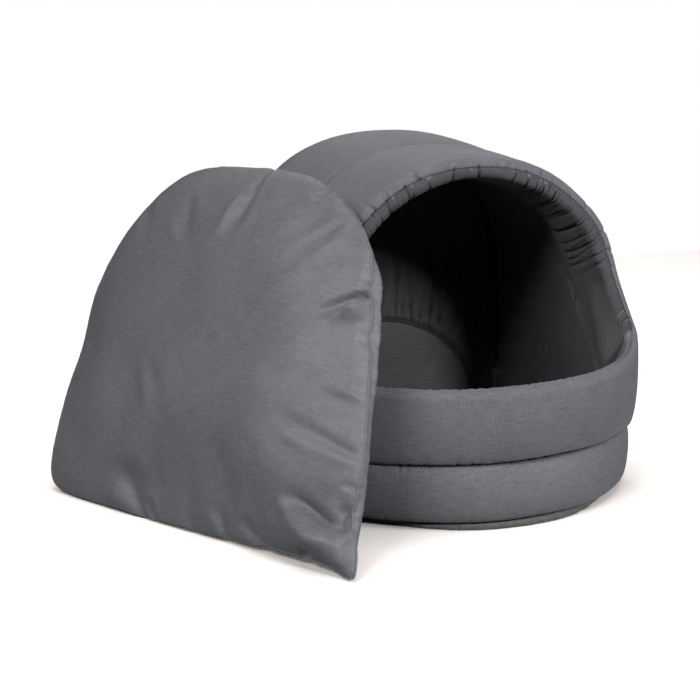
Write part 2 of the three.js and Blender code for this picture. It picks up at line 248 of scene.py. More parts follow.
    def arch(
        self, part: np.ndarray, half: np.ndarray, top: np.ndarray, foot: float, roundness: float
    ) -> tuple[np.ndarray, np.ndarray]:
        """Draws a cross-section of the hood.

        Args:
            part: 0 at the right foot, 0.5 at the top, 1 at the left foot.
            half: Half the width.
            top: Height of the top.
            foot: Height of the foot.
            roundness: Exponent of the arch, 2 for an ellipse.

        Returns:
            The x and the z of each point.
        """
        side = np.where(part <= 0.5, 1.0, -1.0)
        along = 1.0 - np.abs(2.0 * part - 1.0)
        upright = self.spring - foot
        upright_share = upright / (upright + self.arch_stretch * (top - self.spring))
        angle = np.clip((along - upright_share) / (1.0 - upright_share), 0.0, 1.0) * np.pi / 2
        low = mix(foot, self.spring, np.clip(along / np.maximum(upright_share, TINY), 0.0, 1.0))
        is_low = along <= upright_share
        x = side * half * np.where(is_low, 1.0, np.abs(np.cos(angle)) ** (2.0 / roundness))
        z = np.where(is_low, low, self.spring + (top - self.spring) * np.sin(angle) ** (2.0 / roundness))
        return x, z

    def groove(self, part: np.ndarray, inset: np.ndarray | float, shift: float) -> np.ndarray:
        """Places points in the groove between the two channels of the hood.

        Args:
            part: Where on the arch.
            inset: Distance inside the outer shell.
            shift: Distance behind the groove's own line.

        Returns:
            The points.
        """
        top_y = self.groove_foot + self.groove_lean * (self.roof_front - self.low_seam)
        foot = self.low_seam + self.piece_gap
        x, z = self.arch(part, self.half_width - inset, self.roof(top_y) - inset, foot, self.belt_roundness)
        rise = (z - self.low_seam) / (self.roof_front - self.low_seam)
        y = self.groove_foot + self.groove_lean * (z - self.low_seam) - self.groove_bend * rise**4 + shift
        return np.stack(np.broadcast_arrays(x, y, z), -1)

    def lip(self, part: np.ndarray, inset: np.ndarray | float) -> np.ndarray:
        """Places points on the front edge of the hood.

        Args:
            part: Where on the arch.
            inset: Distance inside the outer shell.

        Returns:
            The points.
        """
        top = self.roof_front - inset
        x, z = self.arch(part, self.half_width - inset, top, self.lip_foot, self.lip_roundness)
        change = lambda size, height, reach: size * np.exp(-(((z - height) / reach) ** 2))
        y = self.lip_lean * (z - self.lip_foot)
        x = x + np.sign(x) * (change(*self.flare) + change(*self.fullness) - change(*self.waist))
        z = z + change(*self.shoulder)
        return np.stack(np.broadcast_arrays(x, y, z), -1)

    def rear(self, part: np.ndarray, across: np.ndarray, inset: np.ndarray, end_y: float) -> np.ndarray:
        """Places points on the rear channel of the hood.

        Args:
            part: Where on the arch.
            across: 0 at the groove, 1 at the rear corner.
            inset: Distance inside the outer shell.
            end_y: Depth at which the channel ends.

        Returns:
            The points.
        """
        groove = self.groove(part, inset, self.piece_gap / 2)
        y = mix(groove[..., 1], end_y, across)
        outer = np.clip(1.0 - inset / (self.wall / 2), 0.0, 1.0) > 0
        drawn = inset + np.where(outer, self.corner_inset(y), 0.0)
        foot = self.low_seam + self.piece_gap
        x, z = self.arch(part, self.half_width - drawn, self.roof(y) - drawn, foot, self.belt_roundness)
        return np.stack([x, y, z], -1)


def swell(part: np.ndarray, power: float = 0.5) -> np.ndarray:
    """Tells how far the padding has swollen between two seams.

    Args:
        part: 0 at one seam, 1 at the other.
        power: How steeply it rises beside the seams.

    Returns:
        0 at each seam and 1 in the middle.
    """
    return np.clip(np.sin(np.pi * part), 0.0, 1.0) ** power


def eased(count: int, both: bool = True) -> np.ndarray:
    """Spreads shares from 0 to 1 that lie closer together near the seams.

    Args:
        count: How many shares.
        both: Whether both ends are seams, or only the first.

    Returns:
        The shares.
    """
    even = np.linspace(0.0, 1.0, count)
    return (1.0 - np.cos(np.pi * even)) / 2 if both else 1.0 - np.cos(np.pi / 2 * even)


@dataclass(frozen=True)
class Gathers:
    """Small folds that a row of stitches draws into the cloth beside it."""

    seed: int
    spacing: float
    depth: float
    width: float
    reach: float
    lean: float = 0.25
    weakest: float = 0.15

    def height(self, along: np.ndarray, away: np.ndarray, length: float) -> np.ndarray:
        """Gives the folds' height over the cloth.

        Args:
            along: Distance along the seam.
            away: Distance from the seam.
            length: Length of the seam, after which the folds repeat.

        Returns:
            The height, which is negative in a fold.
        """
        rng = np.random.default_rng(self.seed)
        count = max(int(length / self.spacing), 1)
        places = (np.arange(count) + rng.uniform(-0.42, 0.42, count)) * length / count
        total = np.zeros(np.broadcast(along, away).shape)
        for place in places:
            strength = mix(self.weakest, 1.0, rng.random() ** 2.5)
            reach = self.reach * rng.uniform(0.5, 1.3) * (0.6 + strength)
            aside = along - place - rng.normal(0.0, self.lean) * away
            aside = (aside + length / 2) % length - length / 2
            spread = self.width * (1.0 + away / (2.5 * reach))
            total -= strength * self.depth * np.exp(-((aside / spread) ** 2) - (away / reach) ** 1.5)
        return total


@dataclass(frozen=True)
class Pleats:
    """Pleats that cross the lip at known places, as shares of the arch from its right foot to its left foot."""

    seed: int
    places: tuple[float, ...]
    depth: float
    width: float
    outward: float
    inward: float
    lean: float = 0.12

    def height(self, along: np.ndarray, from_tip: np.ndarray, at: Sequence[float]) -> np.ndarray:
        """Gives the pleats' height over the cloth.

        Args:
            along: Distance along the lip.
            from_tip: Distance from the tip of the lip, negative on the outside.
            at: Distance of each pleat along the lip.

        Returns:
            The height, which is negative in a pleat.
        """
        rng = np.random.default_rng(self.seed)
        total = np.zeros(np.broadcast(along, from_tip).shape)
        outside, inside = np.maximum(-from_tip, 0.0), np.maximum(from_tip, 0.0)
        for place in at:
            strength = rng.uniform(0.6, 1.1)
            lean, bend = rng.normal(0.0, self.lean), rng.normal(0.0, 0.008)
            aside = along - place - lean * from_tip - bend * from_tip**2
            fade = np.exp(-((outside / (self.outward * strength)) ** 3) - (inside / (self.inward * strength)) ** 3)
            width = self.width * (1.0 + np.abs(from_tip) / 30.0)
            total -= strength * self.depth * np.exp(-((aside / width) ** 2)) * fade
        return total


@dataclass(frozen=True)
class Unevenness:
    """Slow swelling and sinking of the padding below the cloth."""

    seed: int
    size: float
    depth: float
    waves: int = 9

    def height(self, points: np.ndarray) -> np.ndarray:
        """Gives the height at points of the surface.

        Args:
            points: The points, in millimetres.

        Returns:
            The height, of either sign.
        """
        rng = np.random.default_rng(self.seed)
        total = np.zeros(points.shape[:-1])
        for _ in range(self.waves):
            direction = rng.normal(size=3)
            direction *= 2 * np.pi / (np.linalg.norm(direction) * self.size * rng.uniform(0.6, 1.7))
            total += np.sin(points @ direction + rng.uniform(0.0, 2 * np.pi))
        return total * self.depth / math.sqrt(self.waves)


def grid_normals(points: np.ndarray, closed: bool) -> np.ndarray:
    """Finds the unit normals of a grid of points.

    Args:
        points: Rows by columns by three numbers.
        closed: Whether the last row is followed by the first.

    Returns:
        The normals, as rows by columns by three numbers.
    """
    if closed:
        along = np.roll(points, -1, axis=0) - np.roll(points, 1, axis=0)
    else:
        along = np.gradient(points, axis=0)
    normal = np.cross(along, np.gradient(points, axis=1))
    return normal / np.maximum(np.linalg.norm(normal, axis=-1, keepdims=True), TINY)


def raised(points: np.ndarray, height: np.ndarray, closed: bool, away_from: np.ndarray) -> np.ndarray:
    """Moves a grid of points along its normals.

    Args:
        points: Rows by columns by three numbers.
        height: How far each point moves.
        closed: Whether the last row is followed by the first.
        away_from: A point or a grid of points that lies on the negative side.

    Returns:
        The moved points.
    """
    normals = grid_normals(points, closed)
    facing = np.sign(np.sum(normals * (points - away_from)))
    return points + normals * (facing * height)[..., None]


def numbered(rows: int, columns: int) -> np.ndarray:
    """Numbers the points of a grid, row by row."""
    return np.arange(rows * columns).reshape(rows, columns)


def corners_of(grid: np.ndarray) -> np.ndarray:
    """Gives what a grid holds at the four corners of each of its cells."""
    cells = np.stack([grid[:-1, :-1], grid[1:, :-1], grid[1:, 1:], grid[:-1, 1:]], 2)
    return cells.reshape(-1, 4, *grid.shape[2:])


def add_object(name: str, data: bpy.types.ID) -> bpy.types.Object:
    """Puts a new object in the scene.

    Args:
        name: Name of the object.
        data: Mesh, curve, lamp or camera that it holds.

    Returns:
        The object.
    """
    item = bpy.data.objects.new(name, data)
    bpy.context.scene.collection.objects.link(item)
    return item


def plain_mesh(name: str, points: np.ndarray, faces: np.ndarray) -> bpy.types.Mesh:
    """Makes a mesh of points and faces.

    Args:
        name: Name of the mesh.
        points: Points in metres.
        faces: Corners of each face.

    Returns:
        The mesh.
    """
    mesh = bpy.data.meshes.new(name)
    mesh.from_pydata(points.tolist(), [], faces.tolist())
    return mesh


def surface_object(
    name: str, points: np.ndarray, faces: np.ndarray, marks: np.ndarray, weld: bool = True
) -> bpy.types.Object:
    """Makes a closed mesh that faces outwards.

    Args:
        name: Name of the piece.
        points: Points in metres.
        faces: Four corners for each face.
        marks: Texture place of each corner of each face, in metres of cloth.
        weld: Whether points that lie together become one.

    Returns:
        The new object.
    """
    mesh = plain_mesh(name, points, faces)
    mesh.uv_layers.new(name="cloth").data.foreach_set("uv", marks.astype(np.float32).ravel())
    work = bmesh.new()
    work.from_mesh(mesh)
    if weld:
        bmesh.ops.remove_doubles(work, verts=work.verts, dist=WELD_DISTANCE)
        bmesh.ops.dissolve_degenerate(work, edges=work.edges, dist=WELD_DISTANCE)
    if work.calc_volume(signed=True) < 0:
        bmesh.ops.reverse_faces(work, faces=work.faces)
    work.to_mesh(mesh)
    work.free()
    mesh.shade_smooth()
    return add_object(name, mesh)


def tube_object(name: str, points: np.ndarray, closed: bool, flat: bool = False) -> bpy.types.Object:
    """Makes a closed mesh from sections that follow each other.

    Args:
        name: Name of the piece.
        points: Sections by points by three numbers, in millimetres. Each section is a closed loop.
        closed: Whether the last section is followed by the first.
        flat: Whether the cloth's threads run straight up and across, as on a piece that hangs on the back wall.

    Returns:
        The new object.
    """
    rows, columns = points.shape[:2]
    looped = np.concatenate([points, points[:1]]) if closed else points
    index = numbered(rows, columns)
    index = np.concatenate([index, index[:1]]) if closed else index
    index = np.concatenate([index, index[:, :1]], axis=1)
    along = lengths_along(looped[:, columns // 4])[:, None] * np.ones(columns + 1)
    wide = np.concatenate([looped, looped[:, :1]], axis=1)
    across = lengths_along(wide.transpose(1, 0, 2)).T
    places = (wide[..., [0, 2]] if flat else np.stack([along, across], -1)) * MM
    faces, marks = corners_of(index), corners_of(places)
    if not closed:
        half = columns // 2
        for row, way in ((index[0], 1), (index[-1], -1)):
            near, far = row[: half - 1], row[columns - 1 : columns - half : -1]
            cap = np.stack([near, row[1:half], row[columns - 2 : columns - half - 1 : -1], far], -1)[:, ::way]
            faces = np.concatenate([faces, cap])
            marks = np.concatenate([marks, np.zeros((len(cap), 4, 2))])
    return surface_object(name, to_row_frame(points.reshape(-1, 3)), faces, marks)


def paired(outer: np.ndarray, inner: np.ndarray) -> np.ndarray:
    """Joins the outer and inner face of a pad into one grid whose sections are closed loops."""
    return np.concatenate([outer, inner[:, ::-1]], axis=1)


def wire(tree: bpy.types.NodeTree, value: object, socket: bpy.types.NodeSocket) -> None:
    """Links an output to a socket, or sets the socket to a plain value."""
    if isinstance(value, bpy.types.NodeSocket):
        tree.links.new(value, socket)
    else:
        socket.default_value = value


def new_node(
    tree: bpy.types.NodeTree, kind: str, feeds: dict[str | int, object] | None = None, **settings: object
) -> bpy.types.Node:
    """Adds a node to a tree.

    Args:
        tree: The tree.
        kind: Type name of the node.
        feeds: Outputs of other nodes, or plain values, for its inputs by name or number.
        settings: Properties to set on it.

    Returns:
        The node.
    """
    node = tree.nodes.new(kind)
    for key, value in settings.items():
        setattr(node, key, value)
    for key, value in (feeds or {}).items():
        wire(tree, value, node.inputs[key])
    return node


def sum_of(tree: bpy.types.NodeTree, operation: str, *values: object) -> bpy.types.NodeSocket:
    """Adds a math node for an operation on values or outputs, and gives its output."""
    return new_node(tree, "ShaderNodeMath", dict(enumerate(values)), operation=operation).outputs[0]


class ShaderEffects:
    """Shader node groups that several finishes share."""

    def __init__(self) -> None:
        """Builds the groups."""
        self.weave = self._weave()
        self.mottle = self._mottle()

    @staticmethod
    def _group(name: str, values: dict[str, float], outputs: Sequence[str]) -> bpy.types.NodeTree:
        """Starts a group that takes a vector and some values.

        Args:
            name: Name of the group.
            values: Default of each value that it takes.
            outputs: Name of each value that it gives.

        Returns:
            The group's tree.
        """
        tree = bpy.data.node_groups.new(name, "ShaderNodeTree")
        tree.interface.new_socket(name="Vector", in_out="INPUT", socket_type="NodeSocketVector")
        for key, default in values.items():
            socket = tree.interface.new_socket(name=key, in_out="INPUT", socket_type="NodeSocketFloat")
            socket.default_value = default
        for key in outputs:
            tree.interface.new_socket(name=key, in_out="OUTPUT", socket_type="NodeSocketFloat")
        return tree

    def _weave(self) -> bpy.types.NodeTree:
        """Builds a plain weave with uneven threads.

        Returns:
            The group, with outputs Tone and Height.
        """
        values = {"Threads": 1900.0, "Slub Width": 1000.0, "Slub Length": 65.0, "Weave Share": 0.2}
        tree = self._group("plain_weave", values, ("Tone", "Height"))
        given = new_node(tree, "NodeGroupInput").outputs
        place = new_node(tree, "ShaderNodeSeparateXYZ", {0: given["Vector"]}).outputs
        turns = sum_of(tree, "MULTIPLY", given["Threads"], math.pi)
        waves = [sum_of(tree, "SINE", sum_of(tree, "MULTIPLY", place[axis], turns)) for axis in "XY"]
        crossing = sum_of(tree, "MULTIPLY", *waves)
        threads = []
        for wide, long in ("XY", "YX"):
            across = sum_of(tree, "MULTIPLY", place[wide], given["Slub Width"])
            along = sum_of(tree, "MULTIPLY", place[long], given["Slub Length"])
            stretched = new_node(tree, "ShaderNodeCombineXYZ", {0: across, 1: along}).outputs[0]
            feeds = {"Scale": 1.0, "Detail": 2.0, "Vector": stretched}
            threads.append(new_node(tree, "ShaderNodeTexNoise", feeds, noise_dimensions="2D").outputs[0])
        slubs = sum_of(tree, "MULTIPLY_ADD", threads[1], 0.62, sum_of(tree, "MULTIPLY", threads[0], 0.38))
        feeds = {"Factor": given["Weave Share"], "A": slubs, "B": sum_of(tree, "MULTIPLY_ADD", crossing, 0.5, 0.5)}
        tone = new_node(tree, "ShaderNodeMix", feeds, data_type="FLOAT").outputs[0]
        height = sum_of(tree, "MULTIPLY_ADD", slubs, 0.8, sum_of(tree, "ABSOLUTE", crossing))
        new_node(tree, "NodeGroupOutput", {"Tone": tone, "Height": height})
        return tree

    def _mottle(self) -> bpy.types.NodeTree:
        """Builds slow variation of tone over a piece.

        Returns:
            The group, with output Tone.
        """
        scales = {"Patch Scale": 14.0, "Speck Scale": 700.0}
        tree = self._group("cloth_mottle", {**scales, "Speck Share": 0.4}, ("Tone",))
        given = new_node(tree, "NodeGroupInput").outputs
        feeds = {"Factor": given["Speck Share"]}
        for end, scale in zip("AB", scales):
            noise = {"Detail": 3.0, "Vector": given["Vector"], "Scale": given[scale]}
            feeds[end] = new_node(tree, "ShaderNodeTexNoise", noise).outputs[0]
        new_node(tree, "NodeGroupOutput", {0: new_node(tree, "ShaderNodeMix", feeds, data_type="FLOAT").outputs[0]})
        return tree


def start_material(name: str) -> tuple[bpy.types.Material, bpy.types.NodeTree, bpy.types.Node]:
    """Makes a material.

    Args:
        name: Name of the material.

    Returns:
        The material, its tree and its shader.
    """
    material = bpy.data.materials.new(name)
    material.use_nodes = True
    return material, material.node_tree, material.node_tree.nodes["Principled BSDF"]


@dataclass(frozen=True)
class Finish:
    """What cloth and felt have in common: a name and two tones."""

    name: str
    dark: tuple[float, float, float]
    light: tuple[float, float, float]

    def tinted(
        self, tree: bpy.types.NodeTree, tone: bpy.types.NodeSocket, low: float, high: float
    ) -> bpy.types.NodeSocket:
        """Turns a tone into a colour.

        Args:
            tree: The material's tree.
            tone: Output that carries the tone.
            low: Tone that becomes the dark colour.
            high: Tone that becomes the light colour.

        Returns:
            Output that carries the colour.
        """
        spread = new_node(tree, "ShaderNodeMapRange", {"Value": tone, "From Min": low, "From Max": high})
        feeds = {"Factor": spread.outputs[0], 6: (*self.dark, 1.0), 7: (*self.light, 1.0)}
        return new_node(tree, "ShaderNodeMix", feeds, data_type="RGBA").outputs[2]


@dataclass(frozen=True)
class ClothFinish(Finish):
    """Woven cloth: its softness and how deep its weave is."""

    roughness: float = 0.78
    sheen: float = 0.22
    sheen_roughness: float = 0.45
    specular: float = 0.35
    weave_depth: float = 0.00009
    threads: float = 1900.0
    thread_shine: float = 0.06
    sheen_tint: tuple[float, float, float, float] = (0.93, 0.95, 1.0, 1.0)

    def build(self, effects: ShaderEffects) -> bpy.types.Material:
        """Makes the material.

        Args:
            effects: The shared shader groups.

        Returns:
            The material.
        """
        material, tree, shader = start_material(self.name)
        place = new_node(tree, "ShaderNodeTexCoord").outputs
        woven = {"Threads": self.threads, "Vector": place["UV"]}
        weave = new_node(tree, "ShaderNodeGroup", woven, node_tree=effects.weave).outputs
        mottle = new_node(tree, "ShaderNodeGroup", {"Vector": place["Object"]}, node_tree=effects.mottle).outputs
        tone = sum_of(tree, "MULTIPLY_ADD", mottle["Tone"], 0.3, sum_of(tree, "MULTIPLY", weave["Tone"], 0.7))
        dull, shiny = self.roughness + self.thread_shine, self.roughness - self.thread_shine
        rough = new_node(tree, "ShaderNodeMapRange", {"Value": weave["Tone"], "To Min": dull, "To Max": shiny})
        relief = {"Strength": 0.6, "Distance": self.weave_depth, "Height": weave["Height"]}
        feeds = {
            "Base Color": self.tinted(tree, tone, 0.4, 0.6),
            "Roughness": rough.outputs[0],
            "Normal": new_node(tree, "ShaderNodeBump", relief).outputs[0],
            "Specular IOR Level": self.specular,
            "Sheen Weight": self.sheen,
            "Sheen Roughness": self.sheen_roughness,
            "Sheen Tint": self.sheen_tint,
        }
        for key, value in feeds.items():
            wire(tree, value, shader.inputs[key])
        return material


@dataclass(frozen=True)
class FeltFinish(Finish):
    """Pressed fibre felt."""

    roughness: float = 0.95
    specular: float = 0.2
    sheen: float = 0.3
    sheen_roughness: float = 0.6
    fibre_depth: float = 0.0006

    def build(self, effects: ShaderEffects) -> bpy.types.Material:
        """Makes the material.

        Args:
            effects: The shared shader groups.

        Returns:
            The material.
        """
        material, tree, shader = start_material(self.name)
        place = new_node(tree, "ShaderNodeTexCoord").outputs["Object"]
        fibres = {"Patch Scale": 240.0, "Speck Scale": 1500.0, "Speck Share": 0.5, "Vector": place}
        tone = new_node(tree, "ShaderNodeGroup", fibres, node_tree=effects.mottle).outputs["Tone"]
        relief = {"Strength": 0.8, "Distance": self.fibre_depth, "Height": tone}
        feeds = {
            "Base Color": self.tinted(tree, tone, 0.35, 0.65),
            "Normal": new_node(tree, "ShaderNodeBump", relief).outputs[0],
            "Roughness": self.roughness,
            "Specular IOR Level": self.specular,
            "Sheen Weight": self.sheen,
            "Sheen Roughness": self.sheen_roughness,
        }
        for key, value in feeds.items():
            wire(tree, value, shader.inputs[key])
        return material


class Finishes:
    """Every finish of the object, ready to use."""

    def __init__(self) -> None:
        """Builds the materials."""
        effects = ShaderEffects()
        make = lambda name, dark, light, **values: ClothFinish(name, dark, light, **values).build(effects)
        self.outer = make("outer_cloth", (0.122, 0.125, 0.137), (0.197, 0.201, 0.219))
        smoother = {"roughness": 0.46, "sheen": 0.15, "specular": 0.5}
        self.cushion = make("cushion_cloth", (0.124, 0.127, 0.139), (0.191, 0.195, 0.213), **smoother)
        # The lining is the same cloth as the outside. Its tones are set darker as painted shade of the hood's inside,
        # and this material also colours the gathered lining, the crescent and the floor pad
        self.lining = make("lining_cloth", (0.062, 0.063, 0.068), (0.101, 0.102, 0.111), sheen=0.1)
        # The half disc is lining cloth too. It is set darker than the outside as painted shade at the back of the hood,
        # though lighter than the gathered lining
        self.disc = make("disc_cloth_with_painted_shade", (0.076, 0.077, 0.083), (0.124, 0.126, 0.137), sheen=0.1)
        # The thread is near-black so that the seams read as dark lines. This is painted shade of the seam grooves, on
        # real stitches
        self.seam_shade_thread = make("sewing_thread_as_seam_shade", (0.02, 0.02, 0.023), (0.035, 0.036, 0.04), threads=5200.0)
        self.felt = FeltFinish("base_felt", (0.07, 0.07, 0.069), (0.165, 0.165, 0.162)).build(effects)


def dress(
    piece: bpy.types.Object, material: bpy.types.Material, nodes: Sequence[str] = ()
) -> bpy.types.Object:
    """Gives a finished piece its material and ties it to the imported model.

    Args:
        piece: The piece.
        material: Its material.
        nodes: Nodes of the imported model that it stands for.

    Returns:
        The piece.
    """
    piece.data.materials.clear()
    piece.data.materials.append(material)
    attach(piece, BODY)
    if nodes:
        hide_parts(*nodes)
    log.info("%s: %d faces", piece.name, len(piece.data.polygons))
    return piece


@dataclass
class LowerWall:
    """Lowest channel of padding, all around the house, on its felt."""

    form: HouseForm
    finishes: Finishes
    bottom: float = 5.4
    top: float = 65.2
    draw: float = 11.0
    inner_draw: float = 2.5
    steepness: float = 0.35
    side_draw: float = 7.0
    seam_gap: float = 1.3
    inner_swelling: float = 5.0
    sections: int = 620
    face_columns: int = 34
    top_gathers: tuple[Gathers, ...] = (Gathers(11, 17.0, 2.4, 1.2, 7.0), Gathers(12, 6.0, 0.8, 1.6, 7.0))
    foot_gathers: Gathers = Gathers(13, 11.0, 1.3, 1.4, 4.5)
    uneven: Unevenness = Unevenness(14, 120.0, 0.55)

    def build(self) -> None:
        """Builds the wall."""
        form = self.form
        turns = form.around(self.sections)[:, None]
        part = eased(self.face_columns)[None, :]
        beside = smooth(np.abs(turns), 0.3, 0.42)
        drawn = mix(self.draw, self.side_draw, beside) * (1.0 - swell(part, self.steepness))
        heights = mix(self.bottom, self.top, part)
        outer = form.footprint(turns, drawn, mix(self.bottom + self.seam_gap, self.top - self.seam_gap, part))
        drawn += self.inner_swelling * smooth(-part, -0.3, 0.0) ** 2
        drawn_inside = drawn * self.inner_draw / self.draw
        inner = form.footprint(turns, form.wall - drawn_inside, heights)
        along = lengths_along(np.concatenate([outer[:, 0], outer[:1, 0]]))
        length = float(along[-1])
        place = along[:-1, None]
        above = (self.top - heights) * np.ones_like(place)
        below = (heights - self.bottom) * np.ones_like(place)
        rise = sum(gathers.height(place, above, length) for gathers in self.top_gathers)
        rise += self.foot_gathers.height(place, below, length)
        rise += self.uneven.height(outer)
        outer = raised(outer, rise, True, inner)
        wall = tube_object("lower_wall", form.foot_shift(paired(outer, inner)), True)
        dress(wall, self.finishes.outer, ["lower_band"])


@dataclass
class FrontHood:
    """Upper front wall and front channel of the hood, one padded ring around the doorway."""

    form: HouseForm
    finishes: Finishes
    draw: float = 11.0
    roof_draw: float = 5.5
    inner_share: float = 0.3
    steepness: float = 0.35
    side_draw: float = 7.0
    bulge: float = 2.2
    corner_flare: float = 3.5
    # Height of the lip, and how thick its padding is there
    lip_heights: tuple[float, ...] = (143.0, 165.0, 235.0, 310.0)
    lip_walls: tuple[float, ...] = (23.0, 17.0, 17.0, 20.0)
    wall_sections: int = 100
    arch_sections: int = 640
    channel_columns: int = 26
    roll_columns: int = 20
    corner_depth: float = -4.0
    corner_power: float = 8.0
    # Heights between which the sewn edge changes its depth, and between which the wall's bulge fades out
    draw_heights: tuple[float, float] = (75.0, 200.0)
    bulge_heights: tuple[float, float] = (66.0, 137.0)
    # Depths between which the sewn edge goes over from the front wall to the groove
    draw_depths: tuple[float, float] = (-47.0, -13.0)
    seam_depth: float = 1.3
    seam_width: float = 1.0
    seam_run: float = 70.0
    roll_mark: float = -17.0
    roll_bend: float = 1.1
    roll_fade: float = 40.0
    crest_heights: tuple[float, float] = (150.0, 175.0)
    sewn_gathers: tuple[Gathers, ...] = (Gathers(22, 15.0, 1.5, 1.4, 5.0), Gathers(23, 6.0, 0.5, 1.5, 3.0))
    crest_gathers: Gathers = Gathers(24, 8.5, 2.2, 1.9, 7.0, weakest=0.4)
    crest_seam: float = 7.0
    uneven: Unevenness = Unevenness(25, 110.0, 0.6)
    ticks: Pleats = Pleats(
        21, (0.76, 0.725, 0.688, 0.645, 0.61, 0.539, 0.495, 0.442, 0.42, 0.398, 0.019, 0.009), 4.2, 1.15, 2.5, 16.0
    )
    creases: Pleats = Pleats(
        26,
        (0.79, 0.748, 0.715, 0.683, 0.617, 0.55, 0.501, 0.458, 0.436, 0.367, 0.337, 0.251, 0.189, 0.15, 0.116),
        3.0,
        1.7,
        12.0,
        4.0,
    )

    def stations(self, inset: float) -> tuple[np.ndarray, np.ndarray]:
        """Places the sewn edge and the lip of one shell.

        Args:
            inset: Distance inside the outer shell.

        Returns:
            The sewn edge and the lip, as matching rows of points.
        """
        form = self.form
        shares = (np.arange(self.wall_sections) + 1.0) / (self.wall_sections + 1.0)
        shares = np.concatenate([[0.0], shares])
        rise = (form.lip_foot - form.crest) * shares**self.corner_power
        sewn_turns = form.even_turns(0.0, form.turn_at_depth(form.groove_foot), shares)
        lip_turns = form.even_turns(0.0, form.turn_at_depth(self.corner_depth), shares)
        foot = form.low_seam + form.piece_gap
        walls = []
        for side in (1.0, -1.0):
            sewn = form.footprint(side * sewn_turns, inset, foot)
            lip = form.footprint(side * lip_turns, inset - self.corner_flare * shares**6, form.crest + rise)
            walls.append((sewn, lip))
        parts = np.linspace(0.0, 1.0, self.arch_sections)
        arch = (form.groove(parts, inset, -form.piece_gap / 2), form.lip(parts, inset))
        right = [line[1:] for line in walls[0]]
        left = [line[::-1] for line in walls[1]]
        return tuple(np.concatenate([right[i], arch[i], left[i]]) for i in range(2))

    def point_at(self, across: np.ndarray, depth: np.ndarray, lines: Sequence[np.ndarray]) -> np.ndarray:
        """Places points in the sections of the ring.

        Args:
            across: Distance from the sewn edge towards the lip.
            depth: Distance below the outer shell.
            lines: Sewn edge and lip of the outer shell, then of the inner shell.

        Returns:
            The points.
        """
        sewn_out, lip_out, sewn_in, lip_in = (line[:, None, :] for line in lines)
        span = np.linalg.norm(lip_out - sewn_out, axis=-1)
        share = (across / span)[..., None]
        outside = mix(sewn_out, lip_out, share)
        inside = mix(sewn_in, lip_in, share)
        return mix(outside, inside, (depth / self.form.wall)[..., None])

    def draw_at(self, height: np.ndarray) -> np.ndarray:
        """Gives how deep the sewn edge lies at a height of the groove: deeper in the wall than on the roof."""
        return mix(self.side_draw, self.roof_draw, smooth(height, *self.draw_heights))

    def lip_wall(self, height: np.ndarray) -> np.ndarray:
        """Gives the padding's thickness in the roll of the lip, at a height of the lip."""
        return np.interp(height, self.lip_heights, self.lip_walls)

    def thickness(self, share: np.ndarray, at_lip: np.ndarray) -> np.ndarray:
        """Gives the padding's thickness from the sewn edge, share 0, to the lip, share 1."""
        return mix(self.form.wall, at_lip, smooth(share, 0.35, 0.95))

    def section(self, lines: Sequence[np.ndarray], proud: float = 0.0) -> tuple[np.ndarray, np.ndarray, np.ndarray]:
        """Draws the sections of the ring from the outer sewn edge, over the lip, to the inner sewn edge.

        Args:
            lines: Sewn edge and lip of the outer shell, then of the inner shell.
            proud: How far the section stands off the padding.

        Returns:
            The points, each one's distance from the sewn edge, and its distance from the tip of the lip.
        """
        span = np.linalg.norm(lines[1] - lines[0], axis=-1)[:, None]
        at_lip = self.lip_wall(lines[1][:, 2])[:, None]
        radius = at_lip / 2
        part = eased(self.channel_columns, False)[None, :]
        across = part * (span - radius)
        deep = self.draw_at(lines[0][:, None, 2])
        low = 1.0 - smooth(lines[0][:, None, 2], *self.bulge_heights)
        deep = mix(self.draw, deep, smooth(lines[0][:, None, 1], *self.draw_depths))
        drawn = deep * (1.0 - swell(part / 2, self.steepness)) - proud
        bulged = drawn - low * self.bulge * np.sin(np.pi * np.clip(part, 0.0, 1.0)) ** 0.8
        outer = self.point_at(across, bulged, lines)
        inside = self.thickness(across / span, at_lip) - (drawn + proud) * self.inner_share + proud
        inner = self.point_at(across, inside, lines)
        angle = np.linspace(0.0, np.pi, 2 * self.roll_columns + 1)[None, 1:-1]
        roll_across = span - radius + (radius + proud) * np.sin(angle)
        roll = self.point_at(roll_across, radius - (radius + proud) * np.cos(angle), lines)
        points = np.concatenate([outer, roll, inner[:, ::-1]], axis=1)
        from_sewn = np.concatenate([across, roll_across, across[:, ::-1]], axis=1)
        quarter = radius * np.pi / 2
        roll_reach = (angle - np.pi / 2) * radius * np.ones_like(span)
        outer_reach = -(span - radius - across) - quarter
        from_tip = np.concatenate([outer_reach, roll_reach, -outer_reach[:, ::-1]], axis=1)
        return points, from_sewn, from_tip

    def lip_lengths(self, lines: Sequence[np.ndarray]) -> tuple[np.ndarray, np.ndarray]:
        """Measures along the lip.

        Args:
            lines: Sewn edge and lip of the outer shell, then of the inner shell.

        Returns:
            The distance of each station along the lip, and those of the stations on the arch alone.
        """
        along = lengths_along(lines[1])
        arch = along[self.wall_sections : self.wall_sections + self.arch_sections]
        return along, arch

